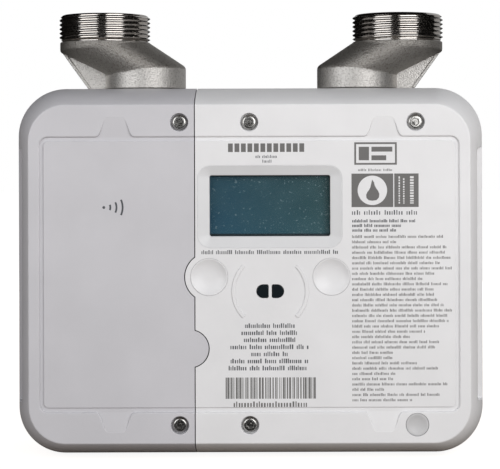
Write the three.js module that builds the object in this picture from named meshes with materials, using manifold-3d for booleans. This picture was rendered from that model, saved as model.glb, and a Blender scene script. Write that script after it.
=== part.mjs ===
// A residential electronic gas meter: a die-cast gas chamber that holds a shut-off valve and an ultrasonic
// measuring duct, two offset pipe connectors on top, and a plastic front with the display, the optical port,
// two push buttons and a separate battery cover.
//
// Millimetres. X runs to the right seen from the front, Y runs from the front to the back, Z is up.
// The origin is the middle of the footprint: the lowest point is at z = 0 and the front face at y = -46.
import * as THREE from "three";
import { mergeVertices } from "three/addons/utils/BufferGeometryUtils.js";
import Module from "manifold-3d";

const wasm = await Module();
wasm.setup();

// ---------------------------------------------------------------- driving dimensions

const FRONT_Y = -46;
const BACK_Y = 46;
const COVER = { width: 234, height: 183.6, radius: 24, rearY: -17, wall: 2.6, innerY: -42.8 };
const FACE = { inset: 9, radius: 18 }; // the flat front face lies this far inside the cover's outline
const SHOULDER = { from: Math.PI / 12, to: (13 * Math.PI) / 36 }; // the stretch of an ellipse that it follows
const GRIP = { x: 112.2, y: -22.8, lowZ: 27.5, highZ: 154, wall: 1.9, radius: 3 }; // the notch along each side
const MID_Z = COVER.height / 2;

const GROOVE = { width: 205.6, height: 135.1, centreZ: 91.55, radius: 4.3, floorY: -44.9 };
const TAB = { x: 65.7, base: 9.5, top: 3.2, height: 9.2 };
const PANEL = { width: 201.4, height: 130.5, centreZ: 91.75, radius: 2.5 };
const PANEL_Y = -45.7; // the face of the raised panel inside the groove

const SEAM = { x: -26.7, gap: 0.25, ringRadius: 12, tabX: -29.1, tabZ: 55.3, tabRadius: 9.3 };
const BUTTON = { leftX: -19.7, rightX: 40.1, z: 90.3, radius: 8.9, clearance: 0.3, travel: 1 };
const WINDOW = { x: 10, z: 125, width: 59.1, height: 29.9, funnel: 5.6, funnelDepth: 1.8 };
const PORT = { x: 10.1, z: 83.3, gap: 1.75, width: 5.8, height: 6.5, beadRadius: 17.95, beadWidth: 1.7 };

const SCREW_TOP_Z = 166;
const SCREW_LOW_Z = 17.9;
const SCREW = { headRadius: 3.8, headHeight: 2.2, shankRadius: 2, length: 18, seatY: -42.7, wellRadius: 4.4 };
const PLUG = { x: 81.9, z: SCREW_LOW_Z, radius: 5.6, seatY: -41.9, screwSeatY: -38.9 };
const COVER_SCREWS = [
  { x: -34.2, z: SCREW_TOP_Z, seatY: SCREW.seatY },
  { x: 0, z: SCREW_TOP_Z, seatY: SCREW.seatY },
  { x: 81.4, z: SCREW_TOP_Z, seatY: SCREW.seatY },
  { x: -34.2, z: SCREW_LOW_Z, seatY: SCREW.seatY },
  { x: 0.1, z: SCREW_LOW_Z, seatY: SCREW.seatY },
  { x: PLUG.x, z: PLUG.z, seatY: PLUG.screwSeatY },
];

const HOUSING = { width: 230, height: 180, radius: 22.5, frontY: -16.6, wall: 3.5, floorY: 40 };
const RIM = { width: 11, backY: -13.2 }; // the inward flange that the chamber plate seals on
const PLATE = { width: 226, height: 176, radius: 20.5, frontY: -20.4, backY: -17.7 };
const PLATE_SCREWS = [-104.2, 0, 104.2].flatMap((x) => [-1, 1].map((side) => ({ x, z: MID_Z + side * (x ? 79.2 : 83.5) })));
const POST = { radius: 4.6, frontY: -33, bore: 2.1 };
const SIDE_PAD = { outerX: 116.4, lowZ: 25.8, highZ: 154.9 };

const PIPE = { centres: 152.4, portCentres: 110, y: 9 }; // outer thread centres, chamber port centres, depth
const OFFSET = (PIPE.centres - PIPE.portCentres) / 2;
const THREAD = { radius: 23.5, pitch: 2.209, depth: 1.25, baseZ: 208.6, topZ: 222.5 };
const ROUND_SIDES = 20; // how many sides the connector's round outsides have
const CONNECTOR = { flangeRadius: 23.2, lowerRadius: 20.8, boreRadius: 17, lowerBore: 15, spigotRadius: 18 };
const BOSS_TOP_Z = 183.9;
const SPIGOT_END_Z = 168;

const TRAY = { frontY: -22.5, backY: -20.7, left: -106, right: 106, low: 26, high: 158 };
const BOARD = { frontY: -35.6, backY: -34, left: -30, right: 100, low: 32, high: 152 };
const CELL = { radius: 9.2, length: 50.5, lowZ: 42, y: -32.1, xs: [-93, -73.6, -54.2] };
const VALVE = { outer: 21, inner: 17, seatZ: 148, stroke: 9.2, bottomZ: 114 };
const DUCT = { z: 52, y: 12, left: -30, right: 40, channelHeight: 20, channelDepth: 24 };

// ---------------------------------------------------------------- materials

const finish = (color, roughness, metalness = 0) =>
  new THREE.MeshStandardMaterial({ color, roughness, metalness });

const WHITE_PLASTIC = finish(0xdededf, 0.5);
const GREY_PLASTIC = finish(0xc2c1c6, 0.5);
const PAINTED_CASTING = finish(0xd2d2d2, 0.55);
const CAST_STEEL = finish(0x9a958f, 0.42, 1);
const STEEL = finish(0x8f8f8d, 0.28, 1);
const BRASS = finish(0xb59a5a, 0.35, 1);
const RUBBER = finish(0x1c1c1c, 0.8);
const BLACK_PLASTIC = finish(0x242628, 0.5);
const CLEAR = finish(0xbfd0d2, 0.05);
const LCD_GLASS = finish(0x31505a, 0.15);
const IR_FILTER = finish(0x171d22, 0.15);
const CIRCUIT_BOARD = finish(0x1f5b3a, 0.5);
const DUCT_PLASTIC = finish(0x4b4f55, 0.5);
const CELL_WRAP = finish(0x3f7d58, 0.4);

// ---------------------------------------------------------------- solids

/** A closed geometry as a solid that can be joined and cut. A solid is passed through. */
function solid(shape) {
  if (!shape.isBufferGeometry) return shape;
  const bare = new THREE.BufferGeometry().setAttribute("position", shape.getAttribute("position"));
  if (shape.index) bare.setIndex(shape.index);
  const merged = mergeVertices(bare, 1e-4);
  return new wasm.Manifold(
    new wasm.Mesh({
      numProp: 3,
      vertProperties: merged.attributes.position.array,
      triVerts: new Uint32Array(merged.index.array),
    }),
  );
}

/** A shape as a named mesh with flat-shaded normals. */
function meshOf(name, shape, material, place = [0, 0, 0]) {
  const { vertProperties, triVerts, numProp } = solid(shape).getMesh();
  const positions = new Float32Array(triVerts.length * 3);
  triVerts.forEach((vertex, i) =>
    positions.set(vertProperties.subarray(vertex * numProp, vertex * numProp + 3), i * 3),
  );
  const geometry = new THREE.BufferGeometry().setAttribute("position", new THREE.BufferAttribute(positions, 3));
  geometry.computeVertexNormals();
  const mesh = new THREE.Mesh(geometry, material);
  mesh.name = name;
  mesh.position.set(...place);
  return mesh;
}

const join = (...shapes) => shapes.map(solid).reduce((all, one) => all.add(one));
const cut = (shape, ...tools) => tools.map(solid).reduce((left, tool) => left.subtract(tool), solid(shape));
const common = (one, other) => solid(one).intersect(solid(other));

/** A box between two corners. */
function block(x0, x1, y0, y1, z0, z1) {
  const box = new THREE.BoxGeometry(x1 - x0, y1 - y0, z1 - z0);
  return box.translate((x0 + x1) / 2, (y0 + y1) / 2, (z0 + z1) / 2);
}

/** A cylinder along the depth axis, from the front depth y0 to the back depth y1. */
function rodY(x, z, radius, y0, y1, sides = 20) {
  return new THREE.CylinderGeometry(radius, radius, y1 - y0, sides).translate(x, (y0 + y1) / 2, z);
}

/** A cylinder that stands upright at x, y. */
function rodZ(x, y, radius, z0, z1, sides = 28) {
  const rod = new THREE.CylinderGeometry(radius, radius, z1 - z0, sides).rotateX(Math.PI / 2);
  return rod.translate(x, y, (z0 + z1) / 2);
}

/** A body turned about the upright axis: pairs of radius and height, going up on its outside. */
function turnedZ(profile, sides = 24) {
  const points = profile.map(([radius, height]) => new THREE.Vector2(radius, height));
  return new THREE.LatheGeometry(points, sides).rotateX(Math.PI / 2);
}

/** A body turned about the depth axis: pairs of radius and depth, going from its front to its back. */
function turnedY(profile, sides = 24) {
  const points = profile.map(([radius, depth]) => new THREE.Vector2(radius, depth));
  return new THREE.LatheGeometry(points, sides);
}

/** An outline in the front view, x and z, given a thickness from the front depth y0 to the back depth y1. */
function slab(outline, y0, y1, curveSegments = 1, bevel = {}) {
  const options = { depth: y1 - y0, bevelEnabled: false, curveSegments, ...bevel };
  return new THREE.ExtrudeGeometry(outline, options).rotateX(Math.PI / 2).translate(0, y1, 0);
}

/** A rectangle with round corners in the front view. */
function roundedRect(centreX, centreZ, width, height, radius) {
  const [x, z] = [width / 2 - radius, height / 2 - radius];
  const outline = new THREE.Shape();
  const corners = [[x, -z, -0.5], [x, z, 0], [-x, z, 0.5], [-x, -z, 1]];
  corners.forEach(([cornerX, cornerZ, turn]) =>
    outline.absarc(centreX + cornerX, centreZ + cornerZ, radius, turn * Math.PI, (turn + 0.5) * Math.PI, false),
  );
  return outline.closePath();
}

/** A solid through a stack of round-cornered rectangles, from the front one to the back one. */
function stack(sections, arcSteps = 2) {
  const rings = sections.map(({ y, width, height, radius }) => {
    const ring = roundedRect(0, MID_Z, width, height, radius).getPoints(arcSteps);
    if (ring[0].distanceTo(ring.at(-1)) < 1e-6) ring.pop();
    return ring.map((p) => new THREE.Vector3(p.x, y, p.y));
  });
  const count = rings[0].length;
  const index = [];
  for (let ring = 0; ring < rings.length - 1; ring++)
    for (let i = 0; i < count; i++) {
      const [a, b] = [ring * count + i, ring * count + ((i + 1) % count)];
      index.push(a, a + count, b + count, a, b + count, b);
    }
  const last = (rings.length - 1) * count;
  for (let i = 1; i < count - 1; i++) index.push(0, i, i + 1, last, last + i + 1, last + i);
  return new THREE.BufferGeometry().setFromPoints(rings.flat()).setIndex(index);
}

/** A round tube along a smooth curve through the given points. */
function lead(points, radius, steps) {
  const section = new THREE.Shape().absarc(0, 0, radius, 0, 2 * Math.PI, false);
  const path = new THREE.CatmullRomCurve3(points.map((p) => new THREE.Vector3(...p)));
  return new THREE.ExtrudeGeometry(section, { steps, extrudePath: path, curveSegments: 4 });
}

// ---------------------------------------------------------------- front cover and battery cover

/** The cover's outside, shrunk by a margin, with the domed shoulder that runs into the flat front face. */
function coverBody(margin, frontY, rearY, steps, arcSteps) {
  const sections = [];
  const { from, to } = SHOULDER;
  for (let i = steps; i >= 0; i--) {
    const angle = from + ((to - from) * i) / steps;
    const share = (Math.cos(from) - Math.cos(angle)) / (Math.cos(from) - Math.cos(to));
    const inset = margin + FACE.inset * share;
    const depth = ((COVER.rearY - FRONT_Y) * (Math.sin(angle) - Math.sin(from))) / (Math.sin(to) - Math.sin(from));
    sections.push({
      y: i === steps ? frontY : COVER.rearY - depth * ((COVER.rearY - frontY) / (COVER.rearY - FRONT_Y)),
      width: COVER.width - 2 * inset,
      height: COVER.height - 2 * inset,
      radius: COVER.radius - margin - (COVER.radius - FACE.radius) * share,
    });
  }
  sections.at(-1).y = rearY;
  return stack(sections, arcSteps);
}

/** Half of a tab's edge, from the groove's edge out to the tab's end, as one S-shaped curve. */
function tabEdge(outline, fromX, fromZ, toX, toZ) {
  const middle = (fromX + toX) / 2;
  outline.bezierCurveTo(middle, fromZ, middle, toZ, toX, toZ);
}

/** The groove's outer edge, with a tab up and a tab down on each side. */
function grooveOutline() {
  const { width, height, centreZ, radius } = GROOVE;
  const [right, low, high] = [width / 2, centreZ - height / 2, centreZ + height / 2];
  const outline = new THREE.Shape().moveTo(-right + radius, low);
  const tab = (centreX, direction, edgeZ) => {
    const endZ = edgeZ - direction * TAB.height;
    outline.lineTo(centreX - direction * TAB.base, edgeZ);
    tabEdge(outline, centreX - direction * TAB.base, edgeZ, centreX - direction * TAB.top, endZ);
    outline.lineTo(centreX + direction * TAB.top, endZ);
    tabEdge(outline, centreX + direction * TAB.top, endZ, centreX + direction * TAB.base, edgeZ);
  };
  tab(-TAB.x, 1, low);
  tab(TAB.x, 1, low);
  outline.absarc(right - radius, low + radius, radius, -Math.PI / 2, 0, false);
  outline.absarc(right - radius, high - radius, radius, 0, Math.PI / 2, false);
  tab(TAB.x, -1, high);
  tab(-TAB.x, -1, high);
  outline.absarc(-right + radius, high - radius, radius, Math.PI / 2, Math.PI, false);
  outline.absarc(-right + radius, low + radius, radius, Math.PI, 1.5 * Math.PI, false);
  return outline;
}

/** Everything to the right of the seam, moved right by a shift: round the left button, and round the grey tab. */
function rightOfSeam(shift) {
  const x = SEAM.x + shift;
  const ring = SEAM.ringRadius - shift;
  const tab = SEAM.tabRadius + shift;
  const ringTurn = Math.acos((x - BUTTON.leftX) / ring);
  const tabTurn = Math.acos((x - SEAM.tabX) / tab);
  const outline = new THREE.Shape().moveTo(150, -20);
  outline.lineTo(150, 210);
  outline.lineTo(x, 210);
  outline.absarc(BUTTON.leftX, BUTTON.z, ring, ringTurn, 2 * Math.PI - ringTurn, false);
  outline.absarc(SEAM.tabX, SEAM.tabZ, tab, tabTurn, -tabTurn, true);
  outline.lineTo(x, -20);
  return slab(outline, FRONT_Y - 5, 0, 8);
}

/** The half-round window beside the port's middle bar: side is -1 for the left one and 1 for the right one. */
function portWindow(side, grow = 0) {
  const inner = PORT.gap / 2 - grow;
  const half = PORT.height / 2 + grow;
  const straight = PORT.gap / 2 + PORT.width - PORT.height / 2;
  const outline = new THREE.Shape().moveTo(inner, -half).lineTo(straight, -half);
  outline.absarc(straight, 0, half, -Math.PI / 2, Math.PI / 2, false);
  outline.lineTo(inner, half);
  const points = outline.getPoints(3).map((p) => new THREE.Vector2(PORT.x + side * p.x, PORT.z + p.y));
  return new THREE.Shape(side < 0 ? points.reverse() : points);
}

/** One of the two raised arcs that centre a reading head on the optical port. */
function portBead(side) {
  const [inner, outer] = [PORT.beadRadius - PORT.beadWidth / 2, PORT.beadRadius + PORT.beadWidth / 2];
  const half = Math.PI / 4.1;
  const middle = side > 0 ? 0 : Math.PI;
  const outline = new THREE.Shape();
  outline.absarc(PORT.x, PORT.z, outer, middle - half, middle + half, false);
  outline.absarc(PORT.x, PORT.z, inner, middle + half, middle - half, true);
  return slab(outline, FRONT_Y, PANEL_Y + 0.5, 4);
}

/** The display's funnel: a sloped frame from the panel down to the edge of the glass. */
function displayFunnel() {
  const { x, z, width, height, funnel, funnelDepth } = WINDOW;
  const bevel = { bevelEnabled: true, bevelThickness: funnelDepth, bevelSize: funnel, bevelSegments: 1 };
  return slab(roundedRect(x, z, width, height, 0.8), PANEL_Y - 2, PANEL_Y, 1, bevel);
}

/** The long notch in one side of the cover, that fingers grip. */
function sideGrip(side, grow) {
  const reach = 20;
  const height = GRIP.highZ - GRIP.lowZ + 2 * grow;
  const middle = side * (GRIP.x - grow + reach);
  const outline = roundedRect(middle, (GRIP.lowZ + GRIP.highZ) / 2, 2 * reach, height, GRIP.radius);
  return slab(outline, FRONT_Y - 2, GRIP.y + grow, 2);
}

/** Both covers in one piece, before the seam parts them. */
function coverShell() {
  const outside = cut(coverBody(0, FRONT_Y, COVER.rearY, 5, 3), sideGrip(-1, 0), sideGrip(1, 0));
  const cavity = coverBody(COVER.wall, COVER.innerY, COVER.rearY + 5, 3, 2);
  const inside = cut(cavity, sideGrip(-1, GRIP.wall), sideGrip(1, GRIP.wall));
  const ring = grooveOutline();
  ring.holes.push(roundedRect(0, PANEL.centreZ, PANEL.width, PANEL.height, PANEL.radius));
  const groove = slab(ring, FRONT_Y - 3, GROOVE.floorY, 3);
  const { centreZ, width, height, radius } = PANEL;
  const panel = slab(roundedRect(0, centreZ, width + 0.1, height + 0.1, radius), FRONT_Y - 2, PANEL_Y, 3);
  const pillars = COVER_SCREWS.map(({ x, z }) => rodY(x, z, 6.4, FRONT_Y + 2, POST.frontY - 0.3, 16));
  const wells = COVER_SCREWS.flatMap(({ x, z, seatY }) => [
    rodY(x, z, seatY === SCREW.seatY ? SCREW.wellRadius : PLUG.radius + 0.1, FRONT_Y - 1, seatY + 0.1),
    rodY(x, z, SCREW.shankRadius + 0.3, FRONT_Y - 1, 0, 12),
  ]);
  return cut(join(cut(outside, inside), ...pillars), groove, panel, ...wells);
}

function frontCover(shell) {
  const { x, z, width, height } = WINDOW;
  const windowFrame = slab(roundedRect(x, z, width + 13, height + 13, 4), COVER.innerY - 0.5, -41.4);
  const body = join(common(shell, rightOfSeam(SEAM.gap)), windowFrame, portBead(-1), portBead(1));
  const buttonBores = [BUTTON.leftX, BUTTON.rightX].map((buttonX) =>
    rodY(buttonX, BUTTON.z, BUTTON.radius + BUTTON.clearance, FRONT_Y - 1, -40, 28),
  );
  return cut(
    body,
    displayFunnel(),
    slab(roundedRect(x, z, width, height, 0.8), FRONT_Y, -40),
    slab(portWindow(-1, 0.15), FRONT_Y, -40),
    slab(portWindow(1, 0.15), FRONT_Y, -40),
    ...buttonBores,
  );
}

function batteryCover(shell) {
  const leftHalf = block(-150, 60, FRONT_Y - 4, -1, -10, 200);
  return common(shell, cut(leftHalf, rightOfSeam(-SEAM.gap)));
}

// ---------------------------------------------------------------- gas chamber

/** The boss under one connector, with a pad outward for the connector's rib to stand on. */
function portBoss(side) {
  const x = (side * PIPE.portCentres) / 2;
  const [from, to] = side < 0 ? [x - 31, x] : [x, x + 31];
  return join(
    rodZ(x, PIPE.y, 24, 178, BOSS_TOP_Z),
    block(from, to, PIPE.y - 8, PIPE.y + 8, 178, BOSS_TOP_Z),
  );
}

function rearHousing() {
  const section = (y, inset) => ({
    y,
    width: HOUSING.width - 2 * inset,
    height: HOUSING.height - 2 * inset,
    radius: HOUSING.radius - inset / 2,
  });
  const outside = stack([
    section(HOUSING.frontY, 0),
    section(30, 1),
    section(38, 2.4),
    section(43, 5.4),
    section(BACK_Y, 10),
  ]);
  const cavity = stack([
    section(RIM.backY, HOUSING.wall),
    section(30, HOUSING.wall + 1),
    section(HOUSING.floorY, HOUSING.wall + 4),
  ]);
  const mouth = stack([section(HOUSING.frontY - 1, RIM.width), section(RIM.backY + 1, RIM.width)]);
  const screwBosses = PLATE_SCREWS.map(({ x, z }) => rodY(x - Math.sign(x), z, 5.5, HOUSING.frontY, 4, 8));
  const sidePads = [-1, 1].map((side) => sidePad(side));
  const feet = [-70, 70].map((x) => block(x - 16, x + 16, -6, 38, 0, 8));
  const body = cut(join(outside, portBoss(-1), portBoss(1), ...sidePads, ...feet), cavity, mouth);
  const ports = [-1, 1].flatMap((side) => {
    const x = (side * PIPE.portCentres) / 2;
    const bore = CONNECTOR.spigotRadius + 0.3;
    return [rodZ(x, PIPE.y, bore, 170, 190), rodZ(x, PIPE.y, 20.5, BOSS_TOP_Z - 1.6, 190)];
  });
  return cut(
    join(body, ...screwBosses),
    ...ports,
    ...PLATE_SCREWS.map(({ x, z }) => rodY(x, z, 1.7, HOUSING.frontY - 1, 1, 8)),
    ...backPockets(),
  );
}

/** A raised grip along one side, scored by upright grooves. */
function sidePad(side) {
  const outline = roundedRect(0, (SIDE_PAD.lowZ + SIDE_PAD.highZ) / 2, 50, SIDE_PAD.highZ - SIDE_PAD.lowZ, 6);
  const chamfer = 1.6;
  const bevel = { bevelEnabled: true, bevelThickness: chamfer, bevelSize: chamfer, bevelSegments: 1 };
  const pad = slab(outline, 0, 5, 1, { ...bevel, bevelOffset: -chamfer })
    .rotateZ((side * Math.PI) / 2)
    .translate(side * (SIDE_PAD.outerX - chamfer), 14, 0);
  const [x0, x1] = side < 0 ? [-SIDE_PAD.outerX - 1, 1 - SIDE_PAD.outerX] : [SIDE_PAD.outerX - 1, SIDE_PAD.outerX + 1];
  const grooves = [0, 7, 14, 21, 28].map((y) =>
    block(x0, x1, y - 1, y + 1, SIDE_PAD.lowZ + 12, SIDE_PAD.highZ - 12),
  );
  return cut(pad, ...grooves);
}

/** Shallow pockets that leave a frame and cross ribs on the back face. */
function backPockets() {
  const columns = [-60, 0, 60];
  const rows = [MID_Z - 34.5, MID_Z + 34.5];
  return rows.flatMap((z) => columns.map((x) => slab(roundedRect(x, z, 52, 61, 6), BACK_Y - 2.5, BACK_Y + 1)));
}

function chamberPlate() {
  const section = (y) => ({ y, width: PLATE.width, height: PLATE.height, radius: PLATE.radius });
  const plate = stack([section(PLATE.frontY), section(PLATE.backY)]);
  const posts = COVER_SCREWS.map(({ x, z }) => rodY(x, z, POST.radius, POST.frontY, PLATE.frontY + 1, 10));
  const postBores = COVER_SCREWS.map(({ x, z, seatY }) => {
    const tipY = seatY + SCREW.length;
    return rodY(x, z, POST.bore + 0.1, POST.frontY - 1, Math.min(tipY + 0.5, PLATE.backY - 1.5), 8);
  });
  const screwHoles = PLATE_SCREWS.map(({ x, z }) => rodY(x, z, 2.3, -30, 0, 8));
  return cut(join(plate, ...posts), ...postBores, ...screwHoles, rodY(FEEDTHROUGH.x, FEEDTHROUGH.z, 7.3, -30, 0));
}

function chamberGasket() {
  const section = (y, inset) => ({
    y,
    width: PLATE.width - 2 * inset,
    height: PLATE.height - 2 * inset,
    radius: PLATE.radius - inset / 2,
  });
  const ring = cut(stack([section(-17.6, 0), section(-16.7, 0)]), stack([section(-19, 8.5), section(-15, 8.5)]));
  return cut(ring, ...PLATE_SCREWS.map(({ x, z }) => rodY(x, z, 2.3, -30, 0, 8)));
}

// ---------------------------------------------------------------- pipe connectors

/**
 * A right-hand threaded rod on the upright axis. Its rows follow the helix, so each flank is one clean strip,
 * and both ends run past the stretch that is kept, to be cut off square.
 */
function threadedRod(z0, z1) {
  const sides = ROUND_SIDES;
  const depths = [0, THREAD.depth]; // how far below the crest each row of one pitch lies
  const heights = [0, 0.5]; // where each row lies in its pitch
  const rowsPerTurn = depths.length;
  const firstZ = z0 - THREAD.pitch;
  const rows = Math.ceil(((z1 - z0) / THREAD.pitch + 3) * rowsPerTurn);
  const points = [];
  for (let row = 0; row < rows; row++)
    for (let side = 0; side < sides; side++) {
      const turn = side / sides;
      const radius = THREAD.radius - depths[row % rowsPerTurn];
      const z = firstZ + THREAD.pitch * (Math.floor(row / rowsPerTurn) + heights[row % rowsPerTurn] + turn);
      const angle = turn * 2 * Math.PI;
      points.push(new THREE.Vector3(radius * Math.cos(angle), radius * Math.sin(angle), z));
    }
  // After one turn a row meets the row one pitch above it.
  const at = (row, side) => (side < sides ? row * sides + side : (row + rowsPerTurn) * sides);
  const index = [];
  for (let row = 0; row < rows - 1 - rowsPerTurn; row++)
    for (let side = 0; side < sides; side++) {
      const [a, b, c, d] = [at(row, side), at(row, side + 1), at(row + 1, side + 1), at(row + 1, side)];
      index.push(a, b, c, a, c, d);
    }
  const top = rows - 1 - rowsPerTurn;
  const rim = (row) => [
    ...Array.from({ length: sides + 1 }, (_, side) => at(row, side)),
    ...Array.from({ length: rowsPerTurn - 1 }, (_, k) => at(row + rowsPerTurn - 1 - k, 0)),
  ];
  const bottomMiddle = points.push(new THREE.Vector3(0, 0, firstZ)) - 1;
  const topMiddle = points.push(new THREE.Vector3(0, 0, z1 + 2 * THREAD.pitch)) - 1;
  rim(0).forEach((v, i, all) => index.push(v, bottomMiddle, all[(i + 1) % all.length]));
  rim(top).forEach((v, i, all) => index.push(v, all[(i + 1) % all.length], topMiddle));
  return new THREE.BufferGeometry().setFromPoints(points).setIndex(index);
}

/** A round body up through tipped circles: each one's height follows x by its slope. */
function throughCircles(circles, sides) {
  const points = circles.flatMap(({ x, z, radius, slope = 0 }) =>
    Array.from({ length: sides }, (_, i) => {
      const angle = (i / sides) * 2 * Math.PI;
      const across = radius * Math.cos(angle);
      return new THREE.Vector3(x + across, radius * Math.sin(angle), z + slope * across);
    }),
  );
  const index = [];
  const top = (circles.length - 1) * sides;
  for (let start = 0; start < top; start += sides)
    for (let i = 0; i < sides; i++) {
      const [a, b] = [start + i, start + ((i + 1) % sides)];
      index.push(a, b, b + sides, a, b + sides, a + sides);
    }
  for (let i = 1; i < sides - 1; i++) index.push(0, i + 1, i, top, top + i, top + i + 1);
  return new THREE.BufferGeometry().setFromPoints(points).setIndex(index);
}

/** The inlet connector about its lower axis: the thread stands outward, towards -X. */
function connector() {
  const { flangeRadius, lowerRadius, boreRadius, lowerBore, spigotRadius } = CONNECTOR;
  const [x, lowSlope, topSlope] = [-OFFSET, 0.087, 0.105];
  const casting = throughCircles([
    { x: 0, z: BOSS_TOP_Z + 0.2, radius: lowerRadius },
    { x: 0, z: 194, radius: lowerRadius, slope: lowSlope },
    { x, z: 205.9, radius: flangeRadius, slope: topSlope },
    { x, z: THREAD.baseZ, radius: flangeRadius },
  ], ROUND_SIDES);
  const relief = THREAD.radius - THREAD.depth - 0.4;
  const threadTrim = turnedZ([
    [0, THREAD.baseZ - 1],
    [relief, THREAD.baseZ - 1],
    [relief, THREAD.baseZ + 0.5],
    [THREAD.radius + 1, THREAD.baseZ + 1.8],
    [THREAD.radius + 1, THREAD.topZ - 2.6],
    [THREAD.radius - 1.4, THREAD.topZ],
    [0, THREAD.topZ],
  ], ROUND_SIDES);
  const thread = common(
    threadedRod(THREAD.baseZ - 1, THREAD.topZ).translate(x, 0, 0),
    threadTrim.translate(x, 0, 0),
  );
  const passage = throughCircles([
    { x: 0, z: 150, radius: lowerBore },
    { x: 0, z: 193, radius: lowerBore, slope: lowSlope },
    { x, z: 206.5, radius: boreRadius, slope: topSlope },
    { x, z: 230, radius: boreRadius },
  ], 20);
  const spigot = rodZ(0, 0, spigotRadius, SPIGOT_END_Z, 188, ROUND_SIDES);
  return cut(join(casting, thread, spigot, connectorRib()), passage);
}

/** The upright rib under the offset: a thin web with a thicker bead along its outer edge. */
function connectorRib() {
  const [outerTop, outerLow] = [{ x: -43, z: 202.8 }, { x: -29.6, z: BOSS_TOP_Z + 0.3 }];
  const bead = 1.5;
  const polygon = (points) => new THREE.Shape(points.map(([x, z]) => new THREE.Vector2(x, z)));
  const web = polygon([
    [outerTop.x + 0.5, outerTop.z],
    [outerLow.x + 0.5, outerLow.z],
    [-18, outerLow.z],
    [-18, 198],
    [-36, 205],
  ]);
  const edge = polygon([
    [outerTop.x, outerTop.z],
    [outerLow.x, outerLow.z],
    [outerLow.x + bead, outerLow.z],
    [outerTop.x + bead + 2, outerTop.z],
  ]);
  return join(slab(web, -1.8, 1.8), slab(edge, -2.7, 2.7));
}

/** The seal round the spigot, squeezed to six flats in its groove. */
const oRing = () =>
  turnedZ([
    [18.4, BOSS_TOP_Z - 0.8],
    [18.9, BOSS_TOP_Z - 1.4],
    [19.7, BOSS_TOP_Z - 1.4],
    [20.2, BOSS_TOP_Z - 0.8],
    [19.7, BOSS_TOP_Z - 0.1],
    [18.9, BOSS_TOP_Z - 0.1],
    [18.4, BOSS_TOP_Z - 0.8],
  ], 20);

/** The nut that clamps a connector from inside the chamber, with four spanner notches. */
function ringNut() {
  const inner = CONNECTOR.spigotRadius + 0.3;
  const ring = turnedZ([[inner, 168.6], [21.6, 168.6], [21.6, 174.8], [inner, 174.8], [inner, 168.6]], 20);
  const notches = [0, 1, 2, 3].map((turn) =>
    block(20, 23, -2.5, 2.5, 168, 171.5).rotateZ((turn * Math.PI) / 2),
  );
  return cut(ring, ...notches);
}

// ---------------------------------------------------------------- shut-off valve, about the inlet's axis

function valveBody() {
  const { outer, inner, seatZ, bottomZ } = VALVE;
  const topZ = SPIGOT_END_Z - 0.3;
  const body = turnedZ([
    [4, bottomZ],
    [outer, bottomZ],
    [outer, topZ],
    [inner, topZ],
    [inner, seatZ + 3],
    [11, seatZ + 3],
    [11, seatZ],
    [inner, seatZ],
    [inner, bottomZ + 3],
    [4, bottomZ + 3],
    [4, bottomZ],
  ], 20);
  const windows = [1, 3].map((turn) =>
    block(-30, 30, -9, 9, bottomZ + 4, seatZ - 2).rotateZ((turn * Math.PI) / 4),
  );
  return cut(body, ...windows);
}

/** The valve disc and its long nut, open at the bottom of its stroke. */
const valveDisc = () =>
  turnedZ([
    [2.9, 118.2],
    [4.6, 118.2],
    [4.6, 134],
    [14.5, 134],
    [14.5, 137],
    [0, 137],
    [0, 136],
    [2.9, 136],
    [2.9, 118.2],
  ], 20);

const valveSeal = () => rodZ(0, 0, 14, 137.2, 138.6, 20);
const valveLeadScrew = () => rodZ(0, 0, 2.4, 108.4, 135.4, 12);

const valveMotor = () =>
  turnedZ([
    [0, 82],
    [12, 82],
    [12, 110],
    [6, 110],
    [6, 113.7],
    [3, 113.7],
    [3, 108],
    [0, 108],
  ], 16);

// ---------------------------------------------------------------- measuring duct

const TRANSDUCERS = [{ x: -9, tilt: -0.7 }, { x: 15, tilt: 0.7 }];
const FEEDTHROUGH = { x: 70, z: 62 };

/** A cylinder that leans outward along the duct, from a point on the channel's upper wall. */
function leaning({ x, tilt }, radius, from, to) {
  return rodZ(0, 0, radius, from, to, 16)
    .rotateY(tilt)
    .translate(x, DUCT.y, DUCT.z + DUCT.channelHeight / 2);
}

function flowDuct() {
  const { z, y, left, right, channelHeight, channelDepth } = DUCT;
  const wall = 3;
  const tube = block(
    left, right,
    y - channelDepth / 2 - wall, y + channelDepth / 2 + wall,
    z - channelHeight / 2 - wall, z + channelHeight / 2 + wall,
  );
  const bell = block(left - 4, left + 2, y - 22, y + 22, z - 20, z + 20);
  const channel = block(
    left - 10, right + 10,
    y - channelDepth / 2, y + channelDepth / 2,
    z - channelHeight / 2, z + channelHeight / 2,
  );
  const sockets = TRANSDUCERS.map((place) => leaning(place, 9, -4, 11));
  const bores = TRANSDUCERS.map((place) => leaning(place, 6.3, -8, 12));
  return cut(join(tube, bell, ...sockets), channel, ...bores);
}

const transducer = (place) => join(leaning(place, 6, 1, 13), leaning(place, 8, 11.4, 15));

/** A plate of square cells that evens out the flow where it enters the duct. */
function flowStraightener() {
  const { z, y, left, channelHeight, channelDepth } = DUCT;
  const [halfY, halfZ] = [channelDepth / 2 - 0.4, channelHeight / 2 - 0.4];
  const plate = block(left - 3, left + 5, y - halfY, y + halfY, z - halfZ, z + halfZ);
  const cell = 4.2;
  const cells = [-1.5, -0.5, 0.5, 1.5].flatMap((column) =>
    [-1, 0, 1].map((row) => {
      const [cy, cz] = [y + column * (cell + 1.2), z + row * (cell + 1.2)];
      return block(left - 9, left + 9, cy - cell / 2, cy + cell / 2, cz - cell / 2, cz + cell / 2);
    }),
  );
  return cut(plate, ...cells);
}

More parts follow.
